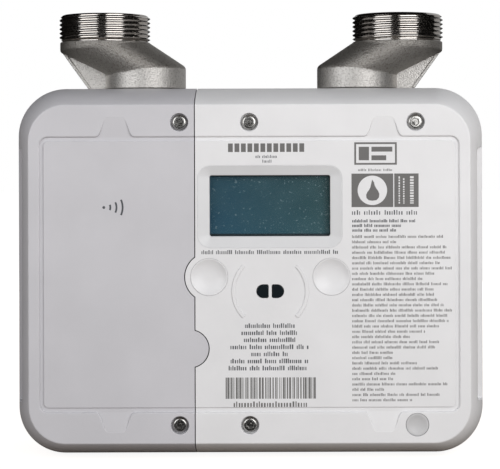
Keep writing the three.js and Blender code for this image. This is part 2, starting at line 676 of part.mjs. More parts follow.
function outletPipe() {
  const { z, y, right, channelHeight, channelDepth } = DUCT;
  const x = PIPE.portCentres / 2;
  const halfY = channelDepth / 2 + 3.3;
  const halfZ = channelHeight / 2 + 3.3;
  const pipe = rodZ(x, PIPE.y, 18.5, 34, SPIGOT_END_Z - 0.3);
  const socket = block(right - 8, x, y - halfY - 2.5, y + halfY + 2.5, z - halfZ - 2.5, z + halfZ + 2.5);
  return cut(
    join(pipe, socket),
    rodZ(x, PIPE.y, CONNECTOR.lowerBore, 38, 175, 20),
    block(right - 9, right + 0.3, y - halfY, y + halfY, z - halfZ, z + halfZ),
    block(right, x, y - channelDepth / 2 + 1, y + channelDepth / 2 - 1, z - channelHeight / 2, z + channelHeight / 2),
  );
}

/** The sealed plug that carries the sensor wires through the chamber plate. */
const feedthrough = () =>
  join(
    rodY(FEEDTHROUGH.x, FEEDTHROUGH.z, 7, PLATE.frontY - 1, PLATE.backY + 4),
    rodY(FEEDTHROUGH.x, FEEDTHROUGH.z, 9.5, PLATE.backY + 0.2, PLATE.backY + 4),
  );

// ---------------------------------------------------------------- electronics

/** The plastic tray behind the boards: floor, board posts, partition and battery cradle. */
function electronicsTray() {
  const { frontY, backY, left, right, low, high } = TRAY;
  const floor = block(left, right, frontY, backY, low, high);
  const rim = cut(
    block(left, right, -28, backY, low, high),
    block(left + 1.8, right - 1.8, -40, 0, low + 1.8, high - 1.8),
  );
  const partition = block(-35, -33.2, COVER.innerY + 0.6, backY, low, high);
  const posts = BOARD_HOLES.map(({ x, z }) => rodY(x, z, 3.6, BOARD.backY + 0.2, backY, 12));
  const radioPosts = RADIO_CORNERS.map(([x, z]) => rodY(x, z, 2.6, RADIO.backY + 0.2, backY, 8));
  const endWalls = [CELL.lowZ - 2.4, CELL.lowZ + CELL.length + 0.6].map((z) =>
    block(CELL.xs[0] - 10.5, CELL.xs.at(-1) + 10.5, -34, backY, z, z + 1.8),
  );
  const body = join(floor, rim, partition, ...posts, ...radioPosts, ...endWalls);
  const cableSlot = block(-36, -32, -50, -30, 108, 122);
  const screwBores = BOARD_HOLES.map(({ x, z }) => rodY(x, z, 1.3, BOARD.backY - 1, -25, 8));
  return cut(body, cableSlot, ...screwBores, rodY(FEEDTHROUGH.x, FEEDTHROUGH.z, 11, -30, 0, 20));
}

const BOARD_HOLES = [BOARD.left + 6, BOARD.right - 6].flatMap((x) =>
  [BOARD.low + 6, BOARD.high - 6].map((z) => ({ x, z })),
);

function mainBoard() {
  const outline = roundedRect(
    (BOARD.left + BOARD.right) / 2, (BOARD.low + BOARD.high) / 2,
    BOARD.right - BOARD.left, BOARD.high - BOARD.low, 2,
  );
  const board = slab(outline, BOARD.frontY, BOARD.backY);
  const chips = [[78, 60, 14, 14], [78, 84, 10, 16], [22, 52, 20, 10], [-14, 62, 9, 9], [80, 118, 12, 20]];
  const parts = chips.map(([x, z, width, height]) =>
    block(x - width / 2, x + width / 2, BOARD.frontY - 1.8, BOARD.frontY + 0.4, z - height / 2, z + height / 2),
  );
  const holes = BOARD_HOLES.map(({ x, z }) => rodY(x, z, 1.7, -40, -30, 10));
  return cut(join(board, ...parts), ...holes);
}

const lcdModule = () =>
  join(
    block(WINDOW.x - 31.5, WINDOW.x + 31.5, -39.4, -37.2, WINDOW.z - 18, WINDOW.z + 18),
    block(WINDOW.x - 30, WINDOW.x + 30, -37.4, -35.8, WINDOW.z - 20, WINDOW.z + 16),
  );

const displayWindow = () =>
  slab(roundedRect(WINDOW.x, WINDOW.z, WINDOW.width + 8, WINDOW.height + 8, 2), -41.2, -39.6);

/** A soft frame round the display glass. */
const displayGasket = () =>
  cut(
    slab(roundedRect(WINDOW.x, WINDOW.z, WINDOW.width + 13, WINDOW.height + 13, 4), -41.2, -39.8),
    slab(roundedRect(WINDOW.x, WINDOW.z, WINDOW.width + 8.6, WINDOW.height + 8.6, 2.3), -42, -39),
  );

/** A dark infra-red filter that fills one half of the port, with a flange behind the cover's wall. */
const irWindow = (side) =>
  join(slab(portWindow(side), PANEL_Y + 0.4, -42.4), slab(portWindow(side, 0.6), COVER.innerY + 0.2, -41.8));

/** A light-emitting or receiving diode with a domed nose. */
function diode(side) {
  const x = PORT.x + side * (PORT.gap / 2 + PORT.width / 2);
  const profile = [[0, -5.4], [1.4, -4.9], [2.1, -3.6], [2.1, -1], [2.6, -1], [2.6, 0], [0, 0]];
  return turnedY(profile, 12).translate(x, BOARD.frontY - 0.2, PORT.z);
}

const magnetRing = () =>
  cut(
    rodY(PORT.x, PORT.z, 16, -42.6, -41.4, 24),
    rodY(PORT.x, PORT.z, 9.4, -45, -40),
  );

/** A dished push button: cap, retaining flange and stem. */
function pushButton() {
  const { radius } = BUTTON;
  const [rimY, dish, dishRadius] = [PANEL_Y + 0.15, 1.5, radius - 0.9];
  const face = [0, 0.35, 0.7, 1].map((share) => [
    share * dishRadius,
    rimY + dish * Math.cos((share * Math.PI) / 2) ** 2,
  ]);
  return turnedY([
    ...face,
    [radius, rimY],
    [radius, -42.3],
    [radius + 1.5, -42.3],
    [radius + 1.5, -41.1],
    [1.9, -41.1],
    [1.9, -39.9],
    [0, -39.9],
  ], 20);
}

/** A small tactile switch whose mouth takes the button's stem. */
const buttonSwitch = (x) =>
  cut(
    block(x - 3.1, x + 3.1, -39.6, BOARD.frontY - 0.1, BUTTON.z - 3.1, BUTTON.z + 3.1),
    rodY(x, BUTTON.z, 2.3, -45, -38, 12),
  );

const RADIO = { left: -102, right: -44, low: 106, high: 150, frontY: -31.6, backY: -30 };
const RADIO_CORNERS = [RADIO.left + 4, RADIO.right - 4].flatMap((x) => [RADIO.low + 4, RADIO.high - 4].map((z) => [x, z]));
const radioBoard = () => block(RADIO.left, RADIO.right, RADIO.frontY, RADIO.backY, RADIO.low, RADIO.high);
const radioShield = () => block(-98, -70, -34.8, RADIO.frontY - 0.1, 112, 138);

/** A bent sheet-metal antenna that stands on two feet over the radio board. */
const antenna = () =>
  join(
    block(-64, -48, -37.6, -37, 108, 148),
    block(-64, -60, -37.4, RADIO.frontY - 0.1, 108, 108.6),
    block(-52, -48, -37.4, RADIO.frontY - 0.1, 147.4, 148),
  );

/** A lithium cell with its raised contact, standing upright in the cradle. */
const batteryCell = () =>
  turnedZ([[0, 0], [8.4, 0], [9.2, 0.8], [9.2, 48], [8.4, 48.8], [3, 48.8], [3, 50.4], [0, 50.4]], 16);

/** The strap that holds the three cells down: an arch over each cell and a foot at each end. */
function batteryStrap() {
  const bar = block(CELL.xs[0] - 9, CELL.xs.at(-1) + 9, -42, -40.6, 62, 72);
  const feet = [CELL.xs[0] - 9.6, CELL.xs.at(-1) + 9.6].map((x) => block(x - 1, x + 1, -42, TRAY.frontY - 0.3, 62, 72));
  const arches = CELL.xs.map((x) => rodZ(x, CELL.y, CELL.radius + 0.3, 60, 74, 16));
  return cut(join(bar, ...feet), ...arches);
}

const batteryLead = () =>
  lead([[-45, -34, 96.4], [-43, -36, 104], [-37, -38.5, 113], [-31, -38.8, 115], [-25, -37.6, 108]], 1.1, 9);

const sensorLead = () =>
  lead([[26, 4, 77], [34, -6, 84], [50, -13.2, 82], [66, -12.6, 74], [71, -10.4, 67], [70, -12.4, 62]], 1.2, 12);

// ---------------------------------------------------------------- fasteners

/** A button-head screw that points back along +Y, its seat at the origin, with a hexagon socket. */
function screw({ headRadius, headHeight, shankRadius, length }, socketRadius, sides) {
  const turned = turnedY([
    [0, -headHeight],
    [headRadius * 0.7, -headHeight],
    [headRadius, -headHeight * 0.35],
    [headRadius, 0],
    [shankRadius, 0],
    [shankRadius, length],
    [0, length],
  ], sides);
  return cut(turned, rodY(0, 0, socketRadius, -headHeight - 1, -headHeight * 0.35, 6));
}

/** The tamper plug over the lower right screw, with a shallow dish in its face. */
function sealPlug() {
  const [radius, faceY] = [PLUG.radius - 0.1, FRONT_Y + 0.35];
  return turnedY([
    [0, faceY + 0.9],
    [radius * 0.5, faceY + 0.62],
    [radius - 0.5, faceY],
    [radius, faceY + 0.2],
    [radius, PLUG.seatY],
    [0, PLUG.seatY],
  ], 20);
}

// ---------------------------------------------------------------- assembly

const meter = new THREE.Group();
const shell = coverShell();
meter.add(
  meshOf("front_cover", frontCover(shell), WHITE_PLASTIC),
  meshOf("battery_cover", batteryCover(shell), GREY_PLASTIC),
  meshOf("rear_housing", rearHousing(), PAINTED_CASTING),
  meshOf("chamber_plate", chamberPlate(), PAINTED_CASTING),
  meshOf("chamber_gasket", chamberGasket(), RUBBER),
  meshOf("seal_plug", sealPlug(), GREY_PLASTIC, [PLUG.x, 0, PLUG.z]),
);

// The outlet's connector is the inlet's, turned half round, so both threads are right-handed.
for (const [name, side] of [["inlet", -1], ["outlet", 1]]) {
  const port = new THREE.Group();
  port.position.set((side * PIPE.portCentres) / 2, PIPE.y, 0);
  port.rotation.z = side > 0 ? Math.PI : 0;
  port.add(
    meshOf(`${name}_connector`, connector(), CAST_STEEL),
    meshOf(`${name}_o_ring`, oRing(), RUBBER),
    meshOf(`${name}_ring_nut`, ringNut(), BRASS),
  );
  meter.add(port);
}

const valve = new THREE.Group();
valve.position.set(-PIPE.portCentres / 2, PIPE.y, 0);
valve.add(
  meshOf("valve_body", valveBody(), BLACK_PLASTIC),
  meshOf("valve_disc", valveDisc(), DUCT_PLASTIC),
  meshOf("valve_seal", valveSeal(), RUBBER),
  meshOf("valve_lead_screw", valveLeadScrew(), STEEL),
  meshOf("valve_motor", valveMotor(), STEEL),
);
meter.add(valve);

meter.add(
  meshOf("flow_duct", flowDuct(), DUCT_PLASTIC),
  meshOf("flow_straightener", flowStraightener(), BLACK_PLASTIC),
  meshOf("upstream_transducer", transducer(TRANSDUCERS[0]), STEEL),
  meshOf("downstream_transducer", transducer(TRANSDUCERS[1]), STEEL),
  meshOf("outlet_pipe", outletPipe(), DUCT_PLASTIC),
  meshOf("feedthrough", feedthrough(), STEEL),
  meshOf("sensor_lead", sensorLead(), BLACK_PLASTIC),
);

meter.add(
  meshOf("electronics_tray", electronicsTray(), BLACK_PLASTIC),
  meshOf("main_board", mainBoard(), CIRCUIT_BOARD),
  meshOf("lcd_module", lcdModule(), LCD_GLASS),
  meshOf("display_window", displayWindow(), CLEAR),
  meshOf("display_gasket", displayGasket(), RUBBER),
  meshOf("ir_window_left", irWindow(-1), IR_FILTER),
  meshOf("ir_window_right", irWindow(1), IR_FILTER),
  meshOf("ir_emitter", diode(-1), CLEAR),
  meshOf("ir_receiver", diode(1), BLACK_PLASTIC),
  meshOf("magnet_ring", magnetRing(), STEEL),
  meshOf("radio_board", radioBoard(), CIRCUIT_BOARD),
  meshOf("radio_shield", radioShield(), STEEL),
  meshOf("antenna", antenna(), BRASS),
  meshOf("battery_strap", batteryStrap(), BLACK_PLASTIC),
  meshOf("battery_lead", batteryLead(), BLACK_PLASTIC),
);

for (const [name, x] of [["left", BUTTON.leftX], ["right", BUTTON.rightX]]) {
  meter.add(
    meshOf(`button_${name}`, pushButton(), WHITE_PLASTIC, [x, 0, BUTTON.z]),
    meshOf(`button_switch_${name}`, buttonSwitch(x), BLACK_PLASTIC),
  );
}

CELL.xs.forEach((x, i) =>
  meter.add(meshOf(`battery_cell_${i + 1}`, batteryCell(), CELL_WRAP, [x, CELL.y, CELL.lowZ])),
);

const plateScrew = { headRadius: 3.4, headHeight: 1.9, shankRadius: 1.5, length: 16 };
const boardScrew = { headRadius: 2.4, headHeight: 1.5, shankRadius: 1, length: 7 };
COVER_SCREWS.forEach(({ x, z, seatY }, i) =>
  meter.add(meshOf(`cover_screw_${i + 1}`, screw(SCREW, 1.7, 12), STEEL, [x, seatY, z])),
);
PLATE_SCREWS.forEach(({ x, z }, i) =>
  meter.add(meshOf(`plate_screw_${i + 1}`, screw(plateScrew, 1.4, 8), STEEL, [x, PLATE.frontY - 0.1, z])),
);
[BOARD_HOLES[0], BOARD_HOLES[3]].forEach(({ x, z }, i) =>
  meter.add(meshOf(`board_screw_${i + 1}`, screw(boardScrew, 1, 8), STEEL, [x, BOARD.frontY - 0.1, z])),
);

export default meter;
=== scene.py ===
"""The looks of a residential gas meter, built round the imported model.

Sizes are millimetres in the model's own frame: X to the right seen from the front, Y from the front to the
back, Z up. MM turns them into Blender's metres. A shape is a pair of lists, its points and its faces.
"""

import math
import random

import bmesh
import bpy
from mathutils import Matrix, Vector


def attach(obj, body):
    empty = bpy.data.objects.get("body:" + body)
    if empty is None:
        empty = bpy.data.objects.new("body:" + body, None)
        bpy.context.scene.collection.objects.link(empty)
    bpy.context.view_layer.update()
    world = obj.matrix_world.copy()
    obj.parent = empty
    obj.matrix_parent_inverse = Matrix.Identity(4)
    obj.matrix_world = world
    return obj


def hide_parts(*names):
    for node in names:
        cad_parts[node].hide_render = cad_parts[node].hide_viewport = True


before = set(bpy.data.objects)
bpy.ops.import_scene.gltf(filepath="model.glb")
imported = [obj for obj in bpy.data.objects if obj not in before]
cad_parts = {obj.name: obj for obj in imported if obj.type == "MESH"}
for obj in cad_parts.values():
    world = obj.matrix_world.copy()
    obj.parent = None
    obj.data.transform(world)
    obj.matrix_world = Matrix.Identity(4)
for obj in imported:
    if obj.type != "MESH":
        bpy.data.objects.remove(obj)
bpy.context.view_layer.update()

MM = 0.001
PI = math.pi
CASE = "meter_case"
SIDES = (-1, 1)

# ---------------- sizes

FRONT_Y = -46.0
BACK_Y = 46.0
MID_Z = 91.8
COVER = {"width": 234.0, "height": 183.6, "radius": 24.0, "rear_y": -17.0, "wall": 2.6, "inner_y": -42.8}
FACE = {"inset": 9.0, "radius": 18.0, "crease": 0.5}
SHOULDER = {"start": PI / 12, "end": 13 * PI / 36}
GRIP = {"x": 112.2, "y": -22.8, "low_z": 27.5, "high_z": 154.0, "wall": 1.9, "radius": 3.0, "soft": 0.8}
PILLAR = {"radius": 6.4, "front_y": -44.2, "rear_y": -33.3, "hole": 2.3}

GROOVE = {"width": 205.6, "height": 135.1, "centre_z": 91.55, "radius": 4.3, "floor_y": -44.9, "lip": 0.75}
TAB = {"x": 65.7, "base": 9.5, "top": 3.2, "height": 9.2}
PANEL = {"width": 201.4, "height": 130.5, "centre_z": 91.75, "radius": 2.5}
PANEL_Y = -45.7

SEAM = {"x": -26.7, "gap": 0.25, "ring_radius": 12.0, "tab_x": -29.1, "tab_z": 55.3, "tab_radius": 9.3}
BUTTON = {"left_x": -19.7, "right_x": 40.1, "z": 90.3, "radius": 9.12, "clearance": 0.08, "dish": 2.1}
GLASS = {"x": 10.05, "z": 125.05, "width": 59.1, "height": 29.9, "radius": 1.0, "front_y": -41.2}
BEZEL = {"left": -25.4, "right": 45.4, "low": 104.4, "high": 144.85, "radius": 6.5, "depth": 1.8, "lip": 0.2}
PORT = {"x": 10.1, "z": 83.3, "gap": 1.75, "width": 5.8, "height": 6.5, "corner": 0.7}
BEAD = {"inner": 17.1, "outer": 18.8, "half_angle": math.radians(44), "rise": 0.5}

SCREW = {"seat_y": -42.7, "well": 4.4, "head": 3.8, "height": 2.2, "socket": 1.85, "deep": 1.7}
PLUG = {"x": 81.9, "z": 17.9, "radius": 5.6, "seat_y": -41.9, "dish": 0.95}
SCREW_PLACES = [(-34.2, 166.0), (0.0, 166.0), (81.4, 166.0), (-34.2, 17.9), (0.1, 17.9)]
PLUG_SCREW_SEAT_Y = -38.9

HOUSING = {"width": 230.0, "height": 180.0, "radius": 22.5, "front_y": -16.6, "wall": 3.5, "floor_y": 40.0}
RIM = {"width": 11.0, "back_y": -13.2}
FOOT = {"x": 70, "half_width": 16, "front_y": -6, "back_y": 38}
SIDE_PAD = {"x": 116.4, "y": 14, "depth": 50, "low_z": 25.8, "high_z": 154.9, "rise": 5.0}
PLATE_SCREWS = [(x, MID_Z + side * (79.2 if x else 83.5)) for x in (-104.2, 0, 104.2) for side in SIDES]

PORT_X = 55.0
PORT_Y = 9.0
OFFSET = 21.2
BOSS_TOP_Z = 183.9
LOW_END = {"radius": 20.8, "foot": 19.6, "top_z": 194.0, "slope": 0.087, "bore": 15}
COLLAR = {"radius": 23.2, "low_z": 205.9, "top_z": 208.6, "slope": 0.105, "neck": 21.0, "bore": 17}
THREAD = {"radius": 23.5, "pitch": 2.209, "depth": 1.3, "base_z": 208.6, "top_z": 222.5}
WEB = {"half": 1.8, "bead_half": 2.7, "bead": 1.5, "top": (-43.0, 202.9), "low": (-29.6, BOSS_TOP_Z + 0.3)}

# ---------------- outlines in the front view (x, z)


def arc(centre_x, centre_z, radius, start, end, steps):
    """Points on a circle from one angle to another."""
    angles = [start + (end - start) * i / steps for i in range(steps + 1)]
    return [(centre_x + radius * math.cos(a), centre_z + radius * math.sin(a)) for a in angles]


def rounded_rect(centre_x, centre_z, width, height, radius, steps=10):
    """A rectangle with round corners, anticlockwise from its lower right corner."""
    points = []
    for side_x, side_z, quarter in ((1, -1, -0.5), (1, 1, 0.0), (-1, 1, 0.5), (-1, -1, 1.0)):
        corner_x = centre_x + side_x * (width / 2 - radius)
        corner_z = centre_z + side_z * (height / 2 - radius)
        points += arc(corner_x, corner_z, radius, quarter * PI, (quarter + 0.5) * PI, steps)
    return points


def rectangle(x0, x1, z0, z1):
    return [(x0, z0), (x1, z0), (x1, z1), (x0, z1)]


def glass_rect(margin, radius, steps):
    """The display opening's rectangle, wider and higher by a margin."""
    width, height = GLASS["width"] + margin, GLASS["height"] + margin
    return rounded_rect(GLASS["x"], GLASS["z"], width, height, radius, steps)


def grown(points, distance):
    """An anticlockwise outline moved outward by a distance."""
    moved_points = []
    for i, (x, z) in enumerate(points):
        before, after = points[i - 1], points[(i + 1) % len(points)]
        one = Vector((z - before[1], before[0] - x)).normalized()
        two = Vector((after[1] - z, x - after[0])).normalized()
        middle = one + two
        middle = (one if middle.length < 1e-6 else middle).normalized()
        stretch = distance / max(0.35, middle.dot(one))
        moved_points.append((x + middle.x * stretch, z + middle.y * stretch))
    return moved_points


def between(one, two, share):
    """The point that lies a share of the way from one point to another."""
    return tuple(a + (b - a) * share for a, b in zip(one, two))


def dense(points, steps=6):
    """More points along each side."""
    sides = zip(points, points[1:] + points[:1])
    return [between(one, two, i / steps) for one, two in sides for i in range(steps)]


def s_curve(start, end, steps=12):
    """A smooth step between two points that leaves and arrives level."""
    points = []
    for i in range(1, steps + 1):
        share = i / steps
        along = 1.5 * share * (1 - share) + share**3
        across = share**2 * (3 - 2 * share)
        points.append((start[0] + (end[0] - start[0]) * along, start[1] + (end[1] - start[1]) * across))
    return points


def bend(one, corner, two, steps):
    """Points on the curve that rounds a corner between two points."""
    shares = [i / steps for i in range(steps + 1)]
    return [tuple((1 - t) ** 2 * a + 2 * (1 - t) * t * b + t**2 * c for a, b, c in zip(one, corner, two))
            for t in shares]


def groove_outline():
    """The groove's outer edge: two tabs down at its foot, two tabs up at its head."""
    radius = GROOVE["radius"]
    reach_x, reach_z = GROOVE["width"] / 2 - radius, GROOVE["height"] / 2 - radius
    ends = ((-TAB["base"], 0), (-TAB["top"], TAB["height"]), (TAB["top"], TAB["height"]), (TAB["base"], 0))
    points = []
    for down in (1, -1):
        edge_z = GROOVE["centre_z"] - down * GROOVE["height"] / 2
        for centre_x in (-down * TAB["x"], down * TAB["x"]):
            start, first, second, last = [(centre_x + down * x, edge_z - down * drop) for x, drop in ends]
            points += [start] + s_curve(start, first) + [second] + s_curve(second, last)
        for quarter, side_z in ((-down, -down), (1 - down, down)):
            turn, corner_z = quarter * PI / 2, GROOVE["centre_z"] + side_z * reach_z
            points += arc(down * reach_x, corner_z, radius, turn, turn + PI / 2, 10)
    return points


def seam_outline(shift):
    """Everything to the right of the seam, moved right by a shift."""
    x = SEAM["x"] + shift
    ring = SEAM["ring_radius"] - shift
    tab = SEAM["tab_radius"] + shift
    ring_turn = math.acos((x - BUTTON["left_x"]) / ring)
    tab_turn = math.acos((x - SEAM["tab_x"]) / tab)
    points = [(150, -20), (150, 210), (x, 210)]
    points += arc(BUTTON["left_x"], BUTTON["z"], ring, ring_turn, 2 * PI - ring_turn, 48)
    points += arc(SEAM["tab_x"], SEAM["tab_z"], tab, tab_turn, -tab_turn, 32)
    return points + [(x, -20)]


def port_window(side):
    """A half-round window beside the port's middle bar, its inner corners slightly round."""
    half, corner = PORT["height"] / 2, PORT["corner"]
    inner = PORT["gap"] / 2 + corner
    straight = PORT["gap"] / 2 + PORT["width"] - half
    points = arc(inner, -half + corner, corner, PI, 1.5 * PI, 4)
    points += arc(straight, 0, half, -PI / 2, PI / 2, 20)
    points += arc(inner, half - corner, corner, PI / 2, PI, 4)
    points = [(PORT["x"] + side * x, PORT["z"] + z) for x, z in points]
    return points if side > 0 else points[::-1]


# ---------------- shapes


def loft(rings):
    """A closed body through rings of equally many points, from the front one to the back one."""
    count = len(rings[0])
    last = (len(rings) - 1) * count
    pairs = [(start + i, start + (i + 1) % count) for start in range(0, last, count) for i in range(count)]
    faces = [(a, a + count, b + count, b) for a, b in pairs]
    faces += [tuple(range(count)), tuple(last + i for i in reversed(range(count)))]
    return [point for ring in rings for point in ring], faces


def layered(layers):
    """A body through outlines in the front view, given as pairs of depth and outline."""
    return loft([[(x, y, z) for x, z in outline] for y, outline in layers])


def plate(outline, stations):
    """An outline given a thickness: stations are pairs of depth and how far the outline is grown there."""
    return layered([(y, grown(outline, by)) for y, by in stations])


def upright(outline, stations):
    """An outline in plan (x, y) given a height: stations are pairs of height and how far it is grown."""
    points, faces = plate(outline, stations)
    return [(x, z, y) for x, y, z in points], faces


def turned(profile, sides=64, place=(0.0, 0.0, 0.0), axis="y"):
    """A body turned about the depth axis or the upright axis: pairs of radius and distance along it."""
    points, rings = [], []
    for radius, along in profile:
        if radius < 1e-6:
            rings.append([len(points)] * sides)
            points.append((0.0, 0.0, along))
            continue
        rings.append(list(range(len(points), len(points) + sides)))
        for i in range(sides):
            angle = 2 * PI * i / sides
            points.append((radius * math.cos(angle), radius * math.sin(angle), along))
    quads = [(one[i], one[i + 1 - sides], two[i + 1 - sides], two[i])
             for one, two in zip(rings, rings[1:]) for i in range(sides)]
    faces = [tuple(dict.fromkeys(quad)) for quad in quads]
    if axis == "y":
        points = [(x, along, z) for x, z, along in points]
    return moved((points, [face for face in faces if len(face) > 2]), place)


def rod(radius, low, high, sides, place):
    """A plain round boss or cutter along the depth axis."""
    return turned([(0, low), (radius, low), (radius, high), (0, high)], sides, place)


def box(x0, x1, y0, y1, z0, z1):
    """A block between two corners."""
    return layered([(y, rectangle(x0, x1, z0, z1)) for y in (y0, y1)])


def moved(shape, place):
    points, faces = shape
    return [(x + place[0], y + place[1], z + place[2]) for x, y, z in points], faces


def together(shapes):
    """Separate shapes as one."""
    points, faces = [], []
    for more_points, more_faces in shapes:
        start = len(points)
        points.extend(more_points)
        faces.extend(tuple(start + i for i in face) for face in more_faces)
    return points, faces


def plug_stations(face_y, deep_y, lip, floor=0.0):
    """Stations for a cutter that leaves a round lip at the face and a round corner at its floor."""

    def quarter(steps):
        turns = [PI / 2 * i / steps for i in range(steps + 1)]
        return [(math.sin(turn), math.cos(turn)) for turn in turns]

    stations = [(face_y - 2.0, lip), (face_y, lip)]
    stations += [(face_y + lip - lip * cos, lip - lip * sin) for sin, cos in quarter(4)[1:]]
    if not floor:
        return stations + [(deep_y, 0.0)]
    return stations + [(deep_y - floor + floor * sin, -floor + floor * cos) for sin, cos in quarter(3)]


def bore(x, z, radius, face_y, deep_y, lip, sides=72):
    """A round cutter with a round lip at the face."""
    profile = [(radius + by, y) for y, by in plug_stations(face_y, deep_y, lip)]
    return turned([(0.0, face_y - 2.0)] + profile + [(0.0, deep_y)], sides, (x, 0.0, z))


# ---------------- objects


def mesh_object(name, shape):
    """A Blender object from a shape, its faces all pointing outward."""
    points, faces = shape
    mesh = bpy.data.meshes.new(name)
    mesh.from_pydata([(x * MM, y * MM, z * MM) for x, y, z in points], [], faces)
    work = bmesh.new()
    work.from_mesh(mesh)
    bmesh.ops.remove_doubles(work, verts=work.verts, dist=1e-7)
    bmesh.ops.recalc_face_normals(work, faces=work.faces)
    work.to_mesh(mesh)
    work.free()
    return linked(bpy.data.objects.new(name, mesh))


def linked(made):
    bpy.context.scene.collection.objects.link(made)
    return made


def copy_of(made, name):
    twin = made.copy()
    twin.data = made.data.copy()
    twin.name = name
    return linked(twin)


def modify(made, kind, **settings):
    """Applies a modifier to a piece's mesh."""
    modifier = made.modifiers.new(kind, kind)
    for key, value in settings.items():
        setattr(modifier, key, value)
    depsgraph = bpy.context.evaluated_depsgraph_get()
    mesh = bpy.data.meshes.new_from_object(made.evaluated_get(depsgraph))
    made.modifiers.clear()
    made.data = mesh


def combine(made, operation, tools):
    """Combines a piece with each tool: a shape, or an object that is gone afterwards."""
    for tool in tools:
        if isinstance(tool, tuple):
            tool = mesh_object("tool", tool)
        modify(made, "BOOLEAN", operation=operation, object=tool, solver="MANIFOLD")
        bpy.data.objects.remove(tool)
    return made


def cut(made, *tools):
    return combine(made, "DIFFERENCE", tools)


def join(made, *tools):
    return combine(made, "UNION", tools)


def keep_common(made, tool):
    return combine(made, "INTERSECT", [tool])


def finished(made, material, node, body=CASE, angle=38):
    """Gives a piece its shading, material and body, and hides the imported node that it stands for."""
    mesh = made.data
    mesh.materials.clear()
    mesh.materials.append(material)
    for polygon in mesh.polygons:
        polygon.use_smooth = True
    mesh.set_sharp_from_angle(angle=math.radians(angle))
    modify(made, "WEIGHTED_NORMAL", mode="FACE_AREA", weight=80, keep_sharp=True)
    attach(made, body)
    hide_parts(node)


def repaint(made, material, chosen):
    """Gives a piece's chosen faces another material: chosen takes a face and its middle in millimetres."""
    made.data.materials.append(material)
    for polygon in made.data.polygons:
        if chosen(polygon, *(polygon.center / MM)):
            polygon.material_index = len(made.data.materials) - 1


# ---------------- materials


class Nodes:
    """A short way to write a material's nodes."""

    def __init__(self, name):
        self.material = bpy.data.materials.new(name)
        self.material.use_nodes = True
        self.tree = self.material.node_tree
        self.shader = self.tree.nodes["Principled BSDF"]
        self.place = self.add("ShaderNodeTexCoord").outputs["Object"]

    def feed(self, socket, value):
        """Links another node's output to a socket, or sets the socket's own value."""
        if isinstance(value, bpy.types.NodeSocket):
            self.tree.links.new(value, socket)
        else:
            socket.default_value = value

    def add(self, kind, inputs=None, **settings):
        node = self.tree.nodes.new(kind)
        for key, value in settings.items():
            setattr(node, key, value)
        for key, value in (inputs or {}).items():
            self.feed(node.inputs[key], value)
        return node

    def set(self, **values):
        """Feeds the shader's sockets and gives the finished material."""
        for key, value in values.items():
            self.feed(self.shader.inputs[key.replace("_", " ")], value)
        return self.material

    def noise(self, per_metre, detail=3.0, roughness=0.5, stretch=None):
        """Noise with that many features in a metre, from 0 to 1."""
        place = self.place
        if stretch:
            place = self.add("ShaderNodeMapping", {"Scale": stretch, "Vector": place}).outputs["Vector"]
        inputs = {"Scale": per_metre, "Detail": detail, "Roughness": roughness, "Vector": place}
        return self.add("ShaderNodeTexNoise", inputs).outputs["Fac"]

    def ramp(self, value, stops):
        """Values or colours at stops between 0 and 1."""
        node = self.add("ShaderNodeValToRGB", {"Fac": value})
        elements = node.color_ramp.elements
        while len(elements) < len(stops):
            elements.new(0.5)
        for element, (position, colour) in zip(elements, stops):
            element.position = position
            element.color = (*(colour if isinstance(colour, tuple) else (colour,) * 3), 1.0)
        return node.outputs["Color"]

    def mottled(self, colour, low, high, per_metre, detail, roughness=0.5):
        """Noise between a darker and a lighter version of a colour."""
        cloud = self.noise(per_metre, detail, roughness)
        return self.ramp(cloud, [(0.3, tone(colour, low)), (0.7, tone(colour, high))])

    def span(self, value, low, high, start=0.0, end=1.0):
        """A value between start and end mapped to a range."""
        inputs = {"From Min": start, "From Max": end, "To Min": low, "To Max": high, "Value": value}
        return self.add("ShaderNodeMapRange", inputs).outputs["Result"]

    def along(self, axis, start, end):
        """How far along an axis a point lies, from 0 at the start to 1 at the end, in millimetres."""
        apart = self.add("ShaderNodeSeparateXYZ", {"Vector": self.place})
        return self.span(apart.outputs[axis], 0.0, 1.0, start * MM, end * MM)

    def sum(self, one, two, share):
        """One value plus a share of another."""
        scaled = self.add("ShaderNodeMath", {0: two, 1: share}, operation="MULTIPLY")
        return self.add("ShaderNodeMath", {0: one, 1: scaled.outputs[0]}, operation="ADD").outputs[0]

    def mix(self, share, one, two):
        """Between two colours by a share; each is a colour or an output."""
        node = self.add("ShaderNodeMix", data_type="RGBA")
        self.feed(node.inputs["Factor"], share)
        for slot, value in (("A", one), ("B", two)):
            socket = [s for s in node.inputs if s.name == slot and s.type == "RGBA"][0]
            self.feed(socket, (*value, 1.0) if isinstance(value, tuple) else value)
        return [s for s in node.outputs if s.type == "RGBA"][0]

    def bump(self, height, depth_mm):
        node = self.add("ShaderNodeBump", {"Distance": depth_mm * MM, "Strength": 1.0, "Height": height})
        self.set(Normal=node.outputs["Normal"])


def tone(colour, by):
    """A colour made lighter or darker by a factor."""
    return tuple(min(1.0, c * by) for c in colour)


def plastic(name, colour, rough=(0.36, 0.46), grain_mm=0.012):
    """Moulded plastic: a fine spark-eroded grain, faint mottling and uneven gloss."""
    nodes = Nodes(name)
    nodes.bump(nodes.sum(nodes.noise(2600, detail=2), nodes.noise(700), 0.6), grain_mm)
    return nodes.set(Base_Color=nodes.mottled(colour, 0.97, 1.03, 38, 4), IOR=1.49,
                     Roughness=nodes.span(nodes.noise(220, detail=5), *rough))


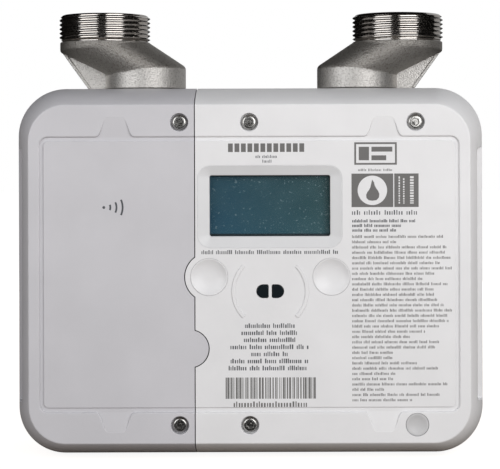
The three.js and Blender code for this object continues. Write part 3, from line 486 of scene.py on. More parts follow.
def metal(name, colour, rough, stretch=None, per_metre=1500):
    """Bare metal with fine tool marks."""
    nodes = Nodes(name)
    marks = nodes.noise(per_metre, detail=4, stretch=stretch)
    nodes.bump(marks, 0.006)
    return nodes.set(Base_Color=nodes.mottled(colour, 0.94, 1.06, 60, 5), Metallic=1.0,
                     Roughness=nodes.span(marks, *rough))


def casting(name, colour, metallic, rough, sand_mm, wear):
    """A sand-cast surface: a pebbled skin over a slow unevenness, with spots worn to another colour."""
    nodes = Nodes(name)
    spots = nodes.ramp(nodes.noise(1100), [(0.5, 0.0), (0.66, 1.0)])
    pebbles = nodes.add("ShaderNodeTexVoronoi", {"Scale": 1500, "Vector": nodes.place})
    height = nodes.sum(pebbles.outputs["Distance"], nodes.noise(1300, detail=4), 1.1)
    nodes.bump(nodes.sum(height, nodes.noise(160, detail=2), 0.3), sand_mm)
    return nodes.set(Base_Color=nodes.mix(spots, nodes.mottled(colour, 0.93, 1.06, 45, 6, 0.6), wear),
                     Roughness=nodes.span(nodes.noise(500, detail=4), *rough), Metallic=metallic)


def rubber(name, colour):
    """Moulded rubber: dull, with a bloom and a faint grain."""
    nodes = Nodes(name)
    bloom = nodes.noise(90, detail=6)
    nodes.bump(nodes.noise(1800), 0.02)
    return nodes.set(Base_Color=nodes.ramp(bloom, [(0.35, colour), (0.75, tone(colour, 1.7))]),
                     Roughness=nodes.span(bloom, 0.62, 0.82))


def circuit(name):
    """Solder mask over copper: pads as squared cells under a green coat."""
    nodes = Nodes(name)
    turn = nodes.add("ShaderNodeMapping", {"Rotation": (PI / 2, 0, 0), "Vector": nodes.place})
    cells = nodes.add("ShaderNodeTexBrick", {
        "Scale": 320, "Mortar Size": 0.05, "Vector": turn.outputs["Vector"],
        "Color1": (0.012, 0.085, 0.035, 1), "Color2": (0.02, 0.13, 0.05, 1), "Mortar": (0.03, 0.19, 0.08, 1),
    })
    nodes.bump(cells.outputs["Fac"], 0.02)
    return nodes.set(Base_Color=cells.outputs["Color"], Roughness=nodes.span(nodes.noise(300), 0.25, 0.4))


def lcd_glass(name):
    """An unlit display: teal, bluer at its left, with faint dust, and painted shadow as a dark band along its
    upper and lower edge.
    """
    nodes = Nodes(name)
    across, height = nodes.along("X", -19.5, 39.6), nodes.along("Z", 110.1, 140)
    low = nodes.mix(across, (0.006, 0.066, 0.125), (0.014, 0.072, 0.083))
    top = nodes.mix(across, (0.004, 0.05, 0.09), (0.011, 0.052, 0.055))
    cloud = nodes.ramp(nodes.noise(70), [(0.35, 0.0), (0.75, 0.35)])
    dust = nodes.ramp(nodes.noise(1000, detail=0), [(0.75, 0.0), (0.78, 0.4)])
    # painted shadow: the dark band along the display's upper and lower edge
    edge = nodes.ramp(height, [(0.03, 1.0), (0.045, 0.0), (0.975, 0.0), (0.985, 1.0)])
    base = nodes.mix(cloud, nodes.mix(height, low, top), (0.05, 0.12, 0.14))
    base = nodes.mix(edge, nodes.mix(dust, base, (0.25, 0.35, 0.38)), (0.002, 0.005, 0.008))
    return nodes.set(Base_Color=base, Roughness=nodes.span(nodes.noise(300), 0.25, 0.35),
                     Coat_Weight=0.3, Coat_Roughness=0.05)


def clear_lens(name, tint, alpha):
    """A thin clear moulding: mostly see-through, with a gloss."""
    nodes = Nodes(name)
    return nodes.set(Base_Color=nodes.mottled(tint, 0.9, 1.0, 60, 5), Alpha=alpha, IOR=1.49,
                     Roughness=nodes.span(nodes.noise(120, detail=4), 0.03, 0.08))


def cell_wrap(name):
    """A heat-shrunk sleeve with a band round each end."""
    nodes = Nodes(name)
    green, dark = (0.045, 0.2, 0.1), (0.02, 0.05, 0.035)
    bands = [(0.0, dark), (0.06, dark), (0.08, green), (0.9, green), (0.93, dark)]
    nodes.bump(nodes.noise(140), 0.08)
    return nodes.set(Base_Color=nodes.ramp(nodes.along("Z", 42, 92.5), bands),
                     Roughness=nodes.span(nodes.noise(200, detail=4), 0.25, 0.4))


def ink(name, colour):
    return plastic(name, colour, (0.5, 0.6), grain_mm=0.002)


WHITE = plastic("white_cover", (0.74, 0.74, 0.755))
# Painted shade: a darker copy of the cover's white for the display's sloped frame, with a glossier finish.
WHITE_FRAME_PAINTED_SHADE = plastic("white_display_frame_painted_shade", (0.655, 0.66, 0.675), (0.3, 0.38))
BUTTON_WHITE = plastic("button_white", (0.74, 0.74, 0.755), (0.3, 0.38))
GREY = plastic("grey_cover", (0.56, 0.555, 0.585))
PLUG_GREY = plastic("plug_grey", (0.52, 0.52, 0.53))
PAINTED = casting("painted_casting", (0.55, 0.55, 0.55), 0.0, (0.42, 0.55), 0.05, (0.5, 0.5, 0.49))
CAST = casting("connector_casting", (0.4, 0.38, 0.355), 0.9, (0.44, 0.56), 0.2, (0.27, 0.25, 0.23))
# Painted light: a lighter copy of the connector casting for its upright lower end and web; the darker casting
# above is the shaded copy.
CASTING_PAINTED_LIGHT = casting("casting_painted_light", (0.66, 0.64, 0.615), 0.9, (0.38, 0.5), 0.12, (0.48, 0.46, 0.44))
MACHINED = metal("machined_thread", (0.72, 0.69, 0.66), (0.1, 0.18), stretch=(0.05, 0.05, 1.0), per_metre=4000)
STAINLESS = metal("stainless", (0.6, 0.59, 0.57), (0.2, 0.3))
# Painted shade: a dark copy of the steel for the inside of the screw sockets.
SOCKET_PAINTED_SHADE = metal("socket_painted_shade", (0.16, 0.155, 0.15), (0.3, 0.45))
PLATED = metal("plated_steel", (0.55, 0.55, 0.54), (0.3, 0.45))
BRASS = metal("brass", (0.62, 0.45, 0.2), (0.25, 0.4))
RUBBER = rubber("rubber", (0.012, 0.012, 0.012))
BLACK = plastic("black_plastic", (0.018, 0.019, 0.021), (0.38, 0.5))
DUCT_PLASTIC = plastic("duct_plastic", (0.07, 0.08, 0.095), (0.4, 0.52))
INFRARED = plastic("infrared_filter", (0.009, 0.013, 0.016), (0.1, 0.18), grain_mm=0.001)
CIRCUIT = circuit("circuit_board")
LCD = lcd_glass("lcd_glass")
LENS = clear_lens("clear_lens", (0.1, 0.16, 0.18), 0.08)
CLEAR_DOME = clear_lens("clear_dome", (0.5, 0.55, 0.6), 0.55)
CELL_WRAP = cell_wrap("cell_wrap")
INK = ink("dark_ink", (0.075, 0.08, 0.09))
SOFT_INK = ink("soft_ink", (0.145, 0.142, 0.14))
PALE_INK = ink("pale_ink", (0.7, 0.7, 0.71))

# ---------------- front cover and battery cover


def cover_rings(margin, front_y, rear_y, steps, corner_steps, crease=0.0):
    """Rings of the cover's domed outside, shrunk by a margin, from the front face to the rear edge."""
    start, end = SHOULDER["start"], SHOULDER["end"]
    edge_y = COVER["rear_y"]
    path = []
    for i in range(steps, -1, -1):
        angle = start + (end - start) * i / steps
        share = (math.cos(start) - math.cos(angle)) / (math.cos(start) - math.cos(end))
        depth = (math.sin(angle) - math.sin(start)) / (math.sin(end) - math.sin(start))
        path.append((edge_y + (front_y - edge_y) * depth, FACE["inset"] * share))
    if crease:
        path = eased_start(path, crease)
        path[-1:] = [(edge_y - 0.6, 0.06), (edge_y - 0.17, 0.21), (rear_y, 0.6)]
    else:
        path[-1:] = [(rear_y, 0.0)]
    layers = []
    for y, inset in path:
        radius = COVER["radius"] - margin - (COVER["radius"] - FACE["radius"]) * min(1.0, inset / FACE["inset"])
        width, height = [COVER[key] - 2 * (margin + inset) for key in ("width", "height")]
        layers.append((y, rounded_rect(0, MID_Z, width, height, radius, corner_steps)))
    return layered(layers)


def eased_start(path, reach):
    """Rounds the crease where the flat front face meets the shoulder."""
    corner = path[0]
    keep = next(i for i, point in enumerate(path) if math.dist(corner, point) > reach)
    share = reach / math.dist(corner, path[keep])
    on_shoulder = between(corner, path[keep], share)
    return bend((corner[0], corner[1] + reach), corner, on_shoulder, 5) + path[keep:]


def side_grip(side, grow, soft=0.0):
    """The long notch in one side of the cover, that fingers grip."""
    reach = 20
    middle_z, height = (GRIP["low_z"] + GRIP["high_z"]) / 2, GRIP["high_z"] - GRIP["low_z"] + 2 * grow
    outline = rounded_rect(side * (GRIP["x"] - grow + reach), middle_z, 2 * reach, height, GRIP["radius"], 6)
    floor_y = GRIP["y"] + grow
    if soft:
        floor = [(floor_y - soft, 0.0), (floor_y - soft * 0.3, -soft * 0.3), (floor_y, -soft)]
    else:
        floor = [(floor_y, 0.0)]
    return plate(outline, [(FRONT_Y - 2, 0.0)] + floor)


def tab_ramp(x, down):
    """The filling that lets a tab of the groove run out to nothing at its end: down is 1 for a low tab."""
    edge = GROOVE["centre_z"] - down * (GROOVE["height"] / 2 - 0.6)
    end = edge - down * (TAB["height"] + 0.2)
    beyond, back_y, top_y = end - down * 3, -40, FRONT_Y + 0.12
    slope = [(GROOVE["floor_y"] + 0.01, edge), (top_y, end), (top_y, beyond), (back_y, beyond), (back_y, edge)]
    return loft([[(x + reach, y, z) for y, z in slope] for reach in (-13, 13)])


def groove_tool():
    """The cutter for the shallow groove, its tabs running out to nothing."""
    stations = plug_stations(FRONT_Y, GROOVE["floor_y"], GROOVE["lip"], floor=0.3)
    made = mesh_object("groove_tool", plate(grown(groove_outline(), -0.25), stations))
    return cut(made, *[tab_ramp(x, down) for x in (-TAB["x"], TAB["x"]) for down in SIDES])


def raised_panel():
    outline = rounded_rect(0, PANEL["centre_z"], PANEL["width"], PANEL["height"], PANEL["radius"], 10)
    edge = [(0, -0.3), (0.03, -0.17), (0.12, -0.05), (0.3, 0.0)]
    return plate(outline, [(PANEL_Y + y, by) for y, by in edge] + [(-44.0, 0.0)])


def bezel_cutter():
    """The display's sloped frame with a fine line round it, and the opening behind it."""
    left, right, low, high = (BEZEL[key] for key in ("left", "right", "low", "high"))
    outer = rounded_rect((left + right) / 2, (low + high) / 2, right - left, high - low, BEZEL["radius"], 12)
    inner = glass_rect(0, GLASS["radius"], 12)
    depth, lip = BEZEL["depth"], BEZEL["lip"]
    line = [(-2, lip), (0, lip), (0.17, lip - 0.08), (0.17, lip - 0.34), (0.05, lip - 0.46)]
    slope = [(0.07, 0.06), (depth * 0.12, 0.1), (depth * 0.93, 0.93), (depth - 0.02, 0.975),
             (depth + 0.12, 0.997)]
    layers = [(PANEL_Y + y, grown(outer, by)) for y, by in line]
    layers += [(PANEL_Y + y, [between(*ends, share) for ends in zip(outer, inner)]) for y, share in slope]
    return layered(layers + [(PANEL_Y + depth + 0.3, inner), (-41.3, inner)])


def port_bead(side):
    """One of the two raised arcs round the optical port."""
    middle = 0.0 if side > 0 else PI
    start, end = middle - BEAD["half_angle"], middle + BEAD["half_angle"]
    outline = arc(PORT["x"], PORT["z"], BEAD["outer"], start, end, 48)
    outline += arc(PORT["x"], PORT["z"], BEAD["inner"], end, start, 48)
    top = PANEL_Y - BEAD["rise"]
    return plate(outline, [(top, -0.22), (top + 0.06, -0.1), (top + 0.22, 0.0), (PANEL_Y + 0.5, 0.0)])


def cover_shell():
    """Both covers as one shell, with its groove, panel, screw wells and pillars."""
    edge_y = COVER["rear_y"]
    shell = mesh_object("front_cover_shell", cover_rings(0, FRONT_Y, edge_y, 28, 18, FACE["crease"]))
    cut(shell, *[side_grip(side, 0, GRIP["soft"]) for side in SIDES])
    cavity = mesh_object("cavity", cover_rings(COVER["wall"], COVER["inner_y"], edge_y + 5, 10, 6))
    cut(shell, cut(cavity, *[side_grip(side, GRIP["wall"]) for side in SIDES]))
    pillars = [(x, 0, z) for x, z in SCREW_PLACES] + [(PLUG["x"], 0, PLUG["z"])]
    join(shell, together([rod(PILLAR["radius"], PILLAR["front_y"], PILLAR["rear_y"], 48, p) for p in pillars]))
    cut(shell, groove_tool())
    join(shell, raised_panel())
    wells = [bore(x, z, SCREW["well"], FRONT_Y, SCREW["seat_y"] + 0.1, 0.35) for x, z in SCREW_PLACES]
    wells.append(bore(PLUG["x"], PLUG["z"], PLUG["radius"] + 0.1, FRONT_Y, PLUG["seat_y"] + 0.1, 0.12))
    return cut(shell, together(wells), together([rod(PILLAR["hole"], -50, -30, 32, p) for p in pillars]))


def build_covers():
    shell = cover_shell()
    battery = copy_of(shell, "battery_cover_skin")
    left = mesh_object("left_half", box(-150, 60, -52, -1, -15, 205))
    keep_common(battery, cut(left, plate(seam_outline(-SEAM["gap"]), [(-60, 0), (10, 0)])))

    keep_common(shell, plate(seam_outline(SEAM["gap"]), [(-55, 0), (-1, 0)]))
    shell.name = "front_cover_skin"
    join(shell, plate(glass_rect(13, 4, 8), [(-43.3, 0), (-41.4, 0)]))
    join(shell, together([port_bead(side) for side in SIDES]))
    cut(shell, bezel_cutter())
    windows = [plate(grown(port_window(side), 0.12), plug_stations(PANEL_Y, -40, 0.2)) for side in SIDES]
    bores = [bore(x, BUTTON["z"], BUTTON["radius"] + BUTTON["clearance"], PANEL_Y, -40, 0.1, 128)
             for x in (BUTTON["left_x"], BUTTON["right_x"])]
    cut(shell, together(windows), together(bores))
    finished(shell, WHITE, "front_cover")

    def on_shaded_frame(polygon, x, y, z):
        inside = BEZEL["left"] < x < BEZEL["right"] and BEZEL["low"] < z < BEZEL["high"]
        return inside and y > PANEL_Y + 0.1 and polygon.normal.y < -0.2

    # painted shade: the frame's sloped faces take the darker copy of the cover's white
    repaint(shell, WHITE_FRAME_PAINTED_SHADE, on_shaded_frame)
    finished(battery, GREY, "battery_cover")


# ---------------- buttons, windows, screws and plug


def build_buttons():
    radius, rim_y, dish = BUTTON["radius"], PANEL_Y - 0.05, BUTTON["dish"]
    shares = [i / 20 for i in range(21)]
    profile = [(share * (radius - 0.35), rim_y + dish * (1 - share**2.6)) for share in shares]
    profile += [(radius - 0.16, rim_y + 0.02), (radius - 0.05, rim_y + 0.07), (radius, rim_y + 0.2),
                (radius, rim_y + 0.45), (radius, -42.3), (radius + 1.4, -42.3), (radius + 1.4, -41.1),
                (1.9, -41.1), (1.9, -39.9), (0.0, -39.9)]
    for name in ("left", "right"):
        made = mesh_object(f"push_button_{name}", turned(profile, 128, (BUTTON[f"{name}_x"], 0, BUTTON["z"])))
        finished(made, BUTTON_WHITE, f"button_{name}", body=f"{name}_button")


def build_windows():
    face = PANEL_Y + 0.42
    edge = [(face, -0.35), (face + 0.04, -0.18), (face + 0.16, -0.04), (face + 0.35, 0.0), (-42.4, 0.0)]
    for name, side in (("left", -1), ("right", 1)):
        outline = port_window(side)
        made = mesh_object(f"port_window_{name}", plate(outline, edge))
        join(made, plate(grown(outline, 0.5), [(-42.6, 0.0), (-41.8, 0.0)]))
        finished(made, INFRARED, f"ir_window_{name}")
    front_y = GLASS["front_y"]
    edge = [(front_y, -0.2), (front_y + 0.2, 0.0), (-39.8, 0.0), (-39.6, -0.2)]
    finished(mesh_object("display_pane", plate(glass_rect(7.6, 2, 8), edge)), LENS, "display_window")


def screw_head():
    """A domed screw head with a hexagon socket and a pin in its middle, its seat at zero, facing the front."""
    head, height, socket, deep = (SCREW[key] for key in ("head", "height", "socket", "deep"))
    profile = [(0.0, -height)]
    for i in range(9):
        turn = PI / 2 * i / 8
        profile.append((head * (0.66 + 0.34 * math.sin(turn)), -height * (0.28 + 0.72 * math.cos(turn))))
    profile += [(head, 0.0), (2.0, 0.0), (2.0, 17.6), (1.6, 18.0), (0.0, 18.0)]
    made = mesh_object("screw", turned(profile, 64))
    floor = deep - height
    hexagon = arc(0, 0, socket, 0, 5 * PI / 3, 5)
    cut(made, plate(hexagon, [(-height - 1, 0.25), (-height, 0.25), (-height + 0.25, 0.0), (floor, 0.0)]))
    pin = [(0.0, -height + 0.5), (0.45, -height + 0.5), (0.6, -height + 0.7), (0.6, floor + 0.2),
           (0.0, floor + 0.2)]
    return join(made, turned(pin, 24))


def build_screws():
    pattern = screw_head()
    places = [(x, SCREW["seat_y"], z) for x, z in SCREW_PLACES] + [(PLUG["x"], PLUG_SCREW_SEAT_Y, PLUG["z"])]
    for number, place in enumerate(places, 1):
        made = copy_of(pattern, f"cover_screw_{number}_head")
        turn = Matrix.Rotation(math.radians(17 + 41 * number), 4, "Y")
        made.data.transform(Matrix.Translation(Vector(place) * MM) @ turn)
        finished(made, STAINLESS, f"cover_screw_{number}")
        inner_y = place[1] - SCREW["height"] + 0.35
        # painted shade: the socket's walls and floor round the pin are darkened
        repaint(made, SOCKET_PAINTED_SHADE, lambda _, x, y, z: (
            0.75 < math.hypot(x - place[0], z - place[2]) < 1.8 and y > inner_y))
    bpy.data.objects.remove(pattern)


def build_plug():
    radius, face, dish = PLUG["radius"] - 0.02, FRONT_Y + 0.3, PLUG["dish"]
    profile = [(radius * 0.8 * i / 10, face + dish - 0.8 * (i / 10) ** 2.4) for i in range(11)]
    profile += [(radius - 0.3, face), (radius - 0.1, face + 0.05), (radius, face + 0.2),
                (radius, PLUG["seat_y"]), (0.0, PLUG["seat_y"])]
    made = mesh_object("seal_plug_cap", turned(profile, 72, (PLUG["x"], 0, PLUG["z"])))
    finished(made, PLUG_GREY, "seal_plug")


# ---------------- printed marks


def strokes(x0, x1, middle_z, height, seed, width=0.3, gap=0.32, word=(4, 14)):
    """A line of plain upright strokes in word-sized groups, which stands for a line of print."""
    order = random.Random(seed)
    low = middle_z - height / 2
    marks, x = [], x0
    while x < x1 - width * 2:
        for _ in range(order.randint(*word)):
            wide = width * order.uniform(0.75, 1.3)
            if x + wide > x1:
                return marks
            tall = height if order.random() < 0.3 else height * 0.74
            marks.append((x, x + wide, low, low + tall))
            x += wide + gap * order.uniform(0.8, 1.3)
        x += width + gap * 1.6
    return marks


def bar_code(x, x1, z0, z1):
    order = random.Random(7)
    marks = []
    while x < x1:
        width = order.choice((0.3, 0.3, 0.6, 0.9))
        marks.append((x, x + width, z0, z1))
        x += width + order.choice((0.25, 0.25, 0.5, 0.75))
    return marks


def upright_strokes(x0, x1, z, z1, seed):
    """A column of short strokes, which stands for a line of print on its side."""
    order = random.Random(seed)
    marks = []
    while z < z1:
        tall = order.uniform(0.5, 1.1)
        marks.append((x0, x1, z, z + tall))
        z += tall + 0.45
    return marks


def frame_marks(x0, x1, z0, z1, line):
    return [(x0, x1, z0, z0 + line), (x0, x1, z1 - line, z1), (x0, x0 + line, z0 + line, z1 - line),
            (x1 - line, x1, z0 + line, z1 - line)]


def small_print():
    """The long block of fine rows on the right, some of them short."""
    order = random.Random(11)
    marks = []
    for row in range(32):
        end = order.uniform(90, 101) if order.random() < 0.72 else order.uniform(60, 86)
        marks += strokes(50.2, end, 109.9 - 2.575 * row, 1.4, 60 + row, width=0.34, gap=0.27)
    return marks


def printed(made, material):
    made.data.materials.clear()
    made.data.materials.append(material)
    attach(made, CASE)


def print_blocks(name, marks, material, lift=0.02):
    """Flat blocks a fiftieth of a millimetre proud of the panel."""
    blocks = [box(x0, x1, PANEL_Y - lift, PANEL_Y + 0.05, z0, z1) for x0, x1, z0, z1 in marks]
    printed(mesh_object(name, together(blocks)), material)


def build_print():
    title = [(x, x + 2.35, 151.4, 155.6) for x in (-10.3 + 3.17 * i for i in range(12))]
    bold = strokes(3.1, 14.1, 149.2, 1.5, 2)
    bold += strokes(6.5, 10.9, 146.9, 1.5, 3)
    bold += strokes(-23.4, 43.3, 102.5, 2.0, 4, width=0.45, gap=0.42)
    for row, half in enumerate((12.1, 13.9, 12.7, 19.3, 9.1, 19.2, 20.2)):
        bold += strokes(9.9 - half, 9.9 + half, 66.5 - 3.45 * row, 2.25, 10 + row, width=0.55, gap=0.42)
    bold += strokes(50.2, 82.4, 121.7, 2.3, 22, width=0.5, gap=0.6, word=(3, 9))
    for row, end in enumerate((81.3, 74.2, 72.0)):
        bold += strokes(50.3, end, 117.6 - 2.27 * row, 1.55, 50 + row, width=0.42, gap=0.24)

    fine = title + bar_code(-11.8, 32.2, 30.8, 41.2)
    fine += strokes(-7.9, 28.8, 28.1, 2.7, 8, width=0.7, gap=0.62, word=(40, 40))
    fine += frame_marks(51.4, 72.2, 145.0, 156.0, 0.9)
    fine += [(53.6, 58.6, 147.2, 153.8), (59.8, 70.0, 151.4, 153.8), (59.8, 67.0, 147.2, 149.6)]
    fine += strokes(53.3, 70.4, 142.5, 1.2, 21)
    fine.append((70.9, 82.8, 124.3, 140.7))
    fine += small_print()

    light = []
    for column, (left, right) in enumerate(((73.0, 73.7), (75.2, 75.9), (78.6, 80.4))):
        light += upright_strokes(left, right, 126.0, 138.6, 30 + column)
    print_blocks("panel_print_bold", bold, INK)
    print_blocks("panel_print_fine", fine, SOFT_INK)
    print_blocks("panel_print_light", light, PALE_INK, lift=0.04)


def flat_mark(outline):
    return plate(outline, [(PANEL_Y - 0.02, 0.0), (PANEL_Y + 0.05, 0.0)])


def build_wave_mark():
    """A plain radio-wave sign on the battery cover: a dot and three arcs."""
    x, z, dot, half_line, half_angle = -71.1, 124.5, 0.7, 0.45, 0.42
    shapes = [flat_mark(arc(x, z, dot, 0, 2 * PI * 31 / 32, 31))]
    for radius in (3.2, 6.2, 9.2):
        outline = arc(x, z, radius + half_line, -half_angle, half_angle, 20)
        outline += arc(x, z, radius - half_line, half_angle, -half_angle, 20)
        shapes.append(flat_mark(outline))
    printed(mesh_object("battery_cover_wave_mark", together(shapes)), INK)


def build_ring_mark():
    """A plain block with a round opening, and a flame sign in it."""
    x, z, radius = 60.2, 132.5, 7.2
    block = mesh_object("panel_ring_mark", flat_mark(rectangle(50.0, 70.4, 124.3, 140.7)))
    cut(block, rod(radius, -50, -40, 64, (x, 0, z)))
    half = [(0.0, 0.0), (2.0, 0.3), (3.2, 1.6), (3.4, 3.4), (2.7, 5.0), (1.8, 6.2), (1.1, 7.6), (0.8, 9.0)]
    low_z = z - 5.1
    outline = [(x + across, low_z + up) for across, up in half] + [(x - 0.1, low_z + 10.4)]
    outline += [(x - across * 0.9, low_z + up * 0.86) for across, up in reversed(half[1:])]
    for made in (block, mesh_object("panel_flame_mark", flat_mark(outline))):
        printed(made, SOFT_INK)


# ---------------- pipe connectors


def threaded_rod(z0, z1, sides=96):
    """A right-hand threaded rod on the upright axis, its rows following the helix."""
    radius, pitch, depth = THREAD["radius"], THREAD["pitch"], THREAD["depth"]
    ridge = [(0.0, 0.0), (0.09, 0.0), (0.16, 0.12), (0.44, 0.88), (0.52, 1.0), (0.58, 1.0), (0.66, 0.88),
             (0.93, 0.12)]
    per_turn = len(ridge)
    rows = (math.ceil((z1 - z0) / pitch) + 3) * per_turn
    first = z0 - pitch
    points = []
    for row in range(rows):
        share, deep = ridge[row % per_turn]
        at = radius - depth * deep
        for turn in (side / sides for side in range(sides)):
            z = first + pitch * (row // per_turn + share + turn)
            points.append((at * math.cos(2 * PI * turn), at * math.sin(2 * PI * turn), z))

    def at_row(row, side):
        return row * sides + side if side < sides else (row + per_turn) * sides

    def rim(row):
        return [at_row(row, side) for side in range(sides + 1)] + \
            [at_row(row + per_turn - 1 - k, 0) for k in range(per_turn - 1)]

    last = rows - 1 - per_turn
    faces = [(at_row(row, side), at_row(row, side + 1), at_row(row + 1, side + 1), at_row(row + 1, side))
             for row in range(last) for side in range(sides)]
    points += [(0, 0, first), (0, 0, z1 + 2 * pitch)]
    for end, hub in ((rim(0), len(points) - 2), (rim(last), len(points) - 1)):
        faces += [(vertex, hub, after) for vertex, after in zip(end, end[1:] + end[:1])]
    return points, faces


def through_circles(circles, sides, rounding):
    """A body up through tipped circles (x, z, radius, slope), its edges between them rounded."""
    columns = []
    for i in range(sides):
        angle = 2 * PI * i / sides
        path = []
        for x, z, radius, slope in circles:
            across = radius * math.cos(angle)
            path.append(Vector((x + across, radius * math.sin(angle), z + slope * across)))
        column = [path[0]]
        for before, corner, after, reach in zip(path, path[1:], path[2:], rounding):
            if reach == 0:
                column.append(corner)
                continue
            one, two = [corner + (end - corner).normalized() * min(reach, (end - corner).length * 0.45)
                        for end in (before, after)]
            column += bend(one, corner, two, 6)
        columns.append(column + [path[-1]])
    return loft([[tuple(point) for point in ring] for ring in zip(*columns)])


def bar(outline, half, edge):
    """A bar in the front view, as deep as half each way, its long edges rounded."""
    edges = [(half, edge), (half - edge * 0.3, edge * 0.3), (half - edge, 0.0)]
    stations = [(-y, -by) for y, by in edges] + [(y, -by) for y, by in reversed(edges)]
    return plate(outline, stations)


def connector_web():
    """The upright web under the offset and its outer bead."""
    top, low = Vector(WEB["top"]), Vector(WEB["low"])
    web = [(low.x + 0.5, low.y), (-18, low.y), (-18, 198), (-34, 204.4), (top.x + 0.5, top.y)]
    down = (low - top).normalized()
    out = Vector((-down.y, down.x)) * WEB["bead"]
    bead = [tuple(point) for point in (top, low, low + out, top + out + down * -0.4)]
    return bar(web, WEB["half"], 0.4), bar(dense(bead), WEB["bead_half"], 0.6)


def connector():
    """A connector about its lower axis, with its collar and thread to the left."""
    x, foot_z, low_z, low_slope = -OFFSET, BOSS_TOP_Z + 0.2, LOW_END["top_z"], LOW_END["slope"]
    collar, collar_z, slope = COLLAR["radius"], COLLAR["top_z"], COLLAR["slope"]
    skirt = [
        (0, foot_z, LOW_END["foot"], 0), (0, foot_z, LOW_END["radius"], 0),
        (0, low_z, LOW_END["radius"], low_slope), (x, COLLAR["low_z"], collar, slope),
        (x, collar_z, collar, 0), (x, collar_z, COLLAR["neck"], 0),
    ]
    made = mesh_object("connector", through_circles(skirt, 112, [0.7, 1.6, 1.3, 0.7]))
    join(made, *connector_web())
    join(made, turned([(0, 168), (17.4, 168), (18, 168.6), (18, 188), (0, 188)], 96, axis="z"))

    base_z, top_z, relief = THREAD["base_z"], THREAD["top_z"], THREAD["radius"] - THREAD["depth"] - 0.35
    thread = mesh_object("thread", moved(threaded_rod(base_z - 1, top_z), (x, 0, 0)))
    trim = [(0, base_z - 1), (relief, base_z - 1), (relief, base_z + 0.3), (relief + 0.3, base_z + 0.6),
            (24.5, base_z + 2), (24.5, top_z - 2.2), (22.0, top_z - 0.2), (21.7, top_z), (0, top_z)]
    join(made, keep_common(thread, turned(trim, 128, (x, 0, 0), axis="z")))

    low, high = LOW_END["bore"], COLLAR["bore"]
    passage = [(0, 150, low, 0), (0, low_z - 1, low, low_slope), (x, 206.5, high, slope),
               (x, top_z - 0.6, high, 0), (x, top_z + 0.1, high + 0.7, 0), (x, top_z + 7.5, high + 0.7, 0)]
    return cut(made, through_circles(passage, 72, [2.0, 2.0, 0, 0]))


def build_connectors():
    pattern = connector()
    for name, side in (("inlet", -1), ("outlet", 1)):
        made = copy_of(pattern, f"{name}_connector_body")
        turn = Matrix.Rotation(0 if side < 0 else PI, 4, "Z")
        made.data.transform(Matrix.Translation((side * PORT_X * MM, PORT_Y * MM, 0)) @ turn)
        finished(made, CAST, f"{name}_connector", angle=34)

        def is_machined(polygon, x, y, z):
            in_bore = math.hypot(x - side * (PORT_X + OFFSET), y - PORT_Y) < COLLAR["bore"] + 0.2
            return z > COLLAR["top_z"] + 0.02 or (z > 205 and in_bore) or z < BOSS_TOP_Z

        def is_painted_lit(polygon, x, y, z):
            """The faces given painted light, a lighter copy of the casting colour: the upright lower end and
            the web.
            """
            across, deep = (x - side * PORT_X) * side, abs(y - PORT_Y)
            top_z = LOW_END["top_z"] - LOW_END["slope"] * across + 0.2
            low_end = z < top_z and abs(polygon.normal.z) < 0.2
            web = deep < 2.8 and math.hypot(across, deep) > 21.2 and z < 203 and abs(polygon.normal.y) > 0.9
            return (low_end or web) and not is_machined(polygon, x, y, z)

        repaint(made, MACHINED, is_machined)
        # painted light: these faces take the lighter copy of the casting colour
        repaint(made, CASTING_PAINTED_LIGHT, is_painted_lit)
    bpy.data.objects.remove(pattern)


# ---------------- gas chamber housing


def housing_shape(path, steps):
    """A body through round-cornered sections given as pairs of depth and how far they are shrunk."""
    width, height, radius = HOUSING["width"], HOUSING["height"], HOUSING["radius"]
    return layered([(y, rounded_rect(0, MID_Z, width - 2 * by, height - 2 * by, radius - by * 0.5, steps))
                    for y, by in path])


def side_pad(side):
    """A raised grip along one side, scored by upright grooves."""
    middle_z, height = (SIDE_PAD["low_z"] + SIDE_PAD["high_z"]) / 2, SIDE_PAD["high_z"] - SIDE_PAD["low_z"]

    def facing_out(outline, stations):
        points, faces = plate(outline, [(out, by) for out, by in stations])
        return [(side * (SIDE_PAD["x"] + out), y, z) for y, out, z in points], faces

    outline = rounded_rect(SIDE_PAD["y"], middle_z, SIDE_PAD["depth"], height, 6, 8)
    stations = [(-SIDE_PAD["rise"], 0.0), (-1.8, 0.0), (-1.0, -0.25), (-0.4, -0.8), (0.0, -1.6)]
    pad = mesh_object("pad", facing_out(outline, stations))
    groove = [(-0.9, -0.4), (-0.6, 0.0), (-0.1, 0.1), (1.0, 0.6)]
    return cut(pad, together([facing_out(rounded_rect(y, middle_z, 2.0, height - 24, 0.95, 5), groove)
                              for y in (0, 7, 14, 21, 28)]))


def rear_pockets():
    """Six shallow rounded pockets that leave ribs between them."""
    stations = [(43.5, -1.2), (43.7, -0.6), (44.4, 0.0), (45.4, 0.0), (45.8, 0.15), (46.0, 0.6), (47.5, 0.6)]
    return together([plate(rounded_rect(x, z, 52, 61, 6, 8), stations)
                     for z in (MID_Z - 34.5, MID_Z + 34.5) for x in (-60, 0, 60)])


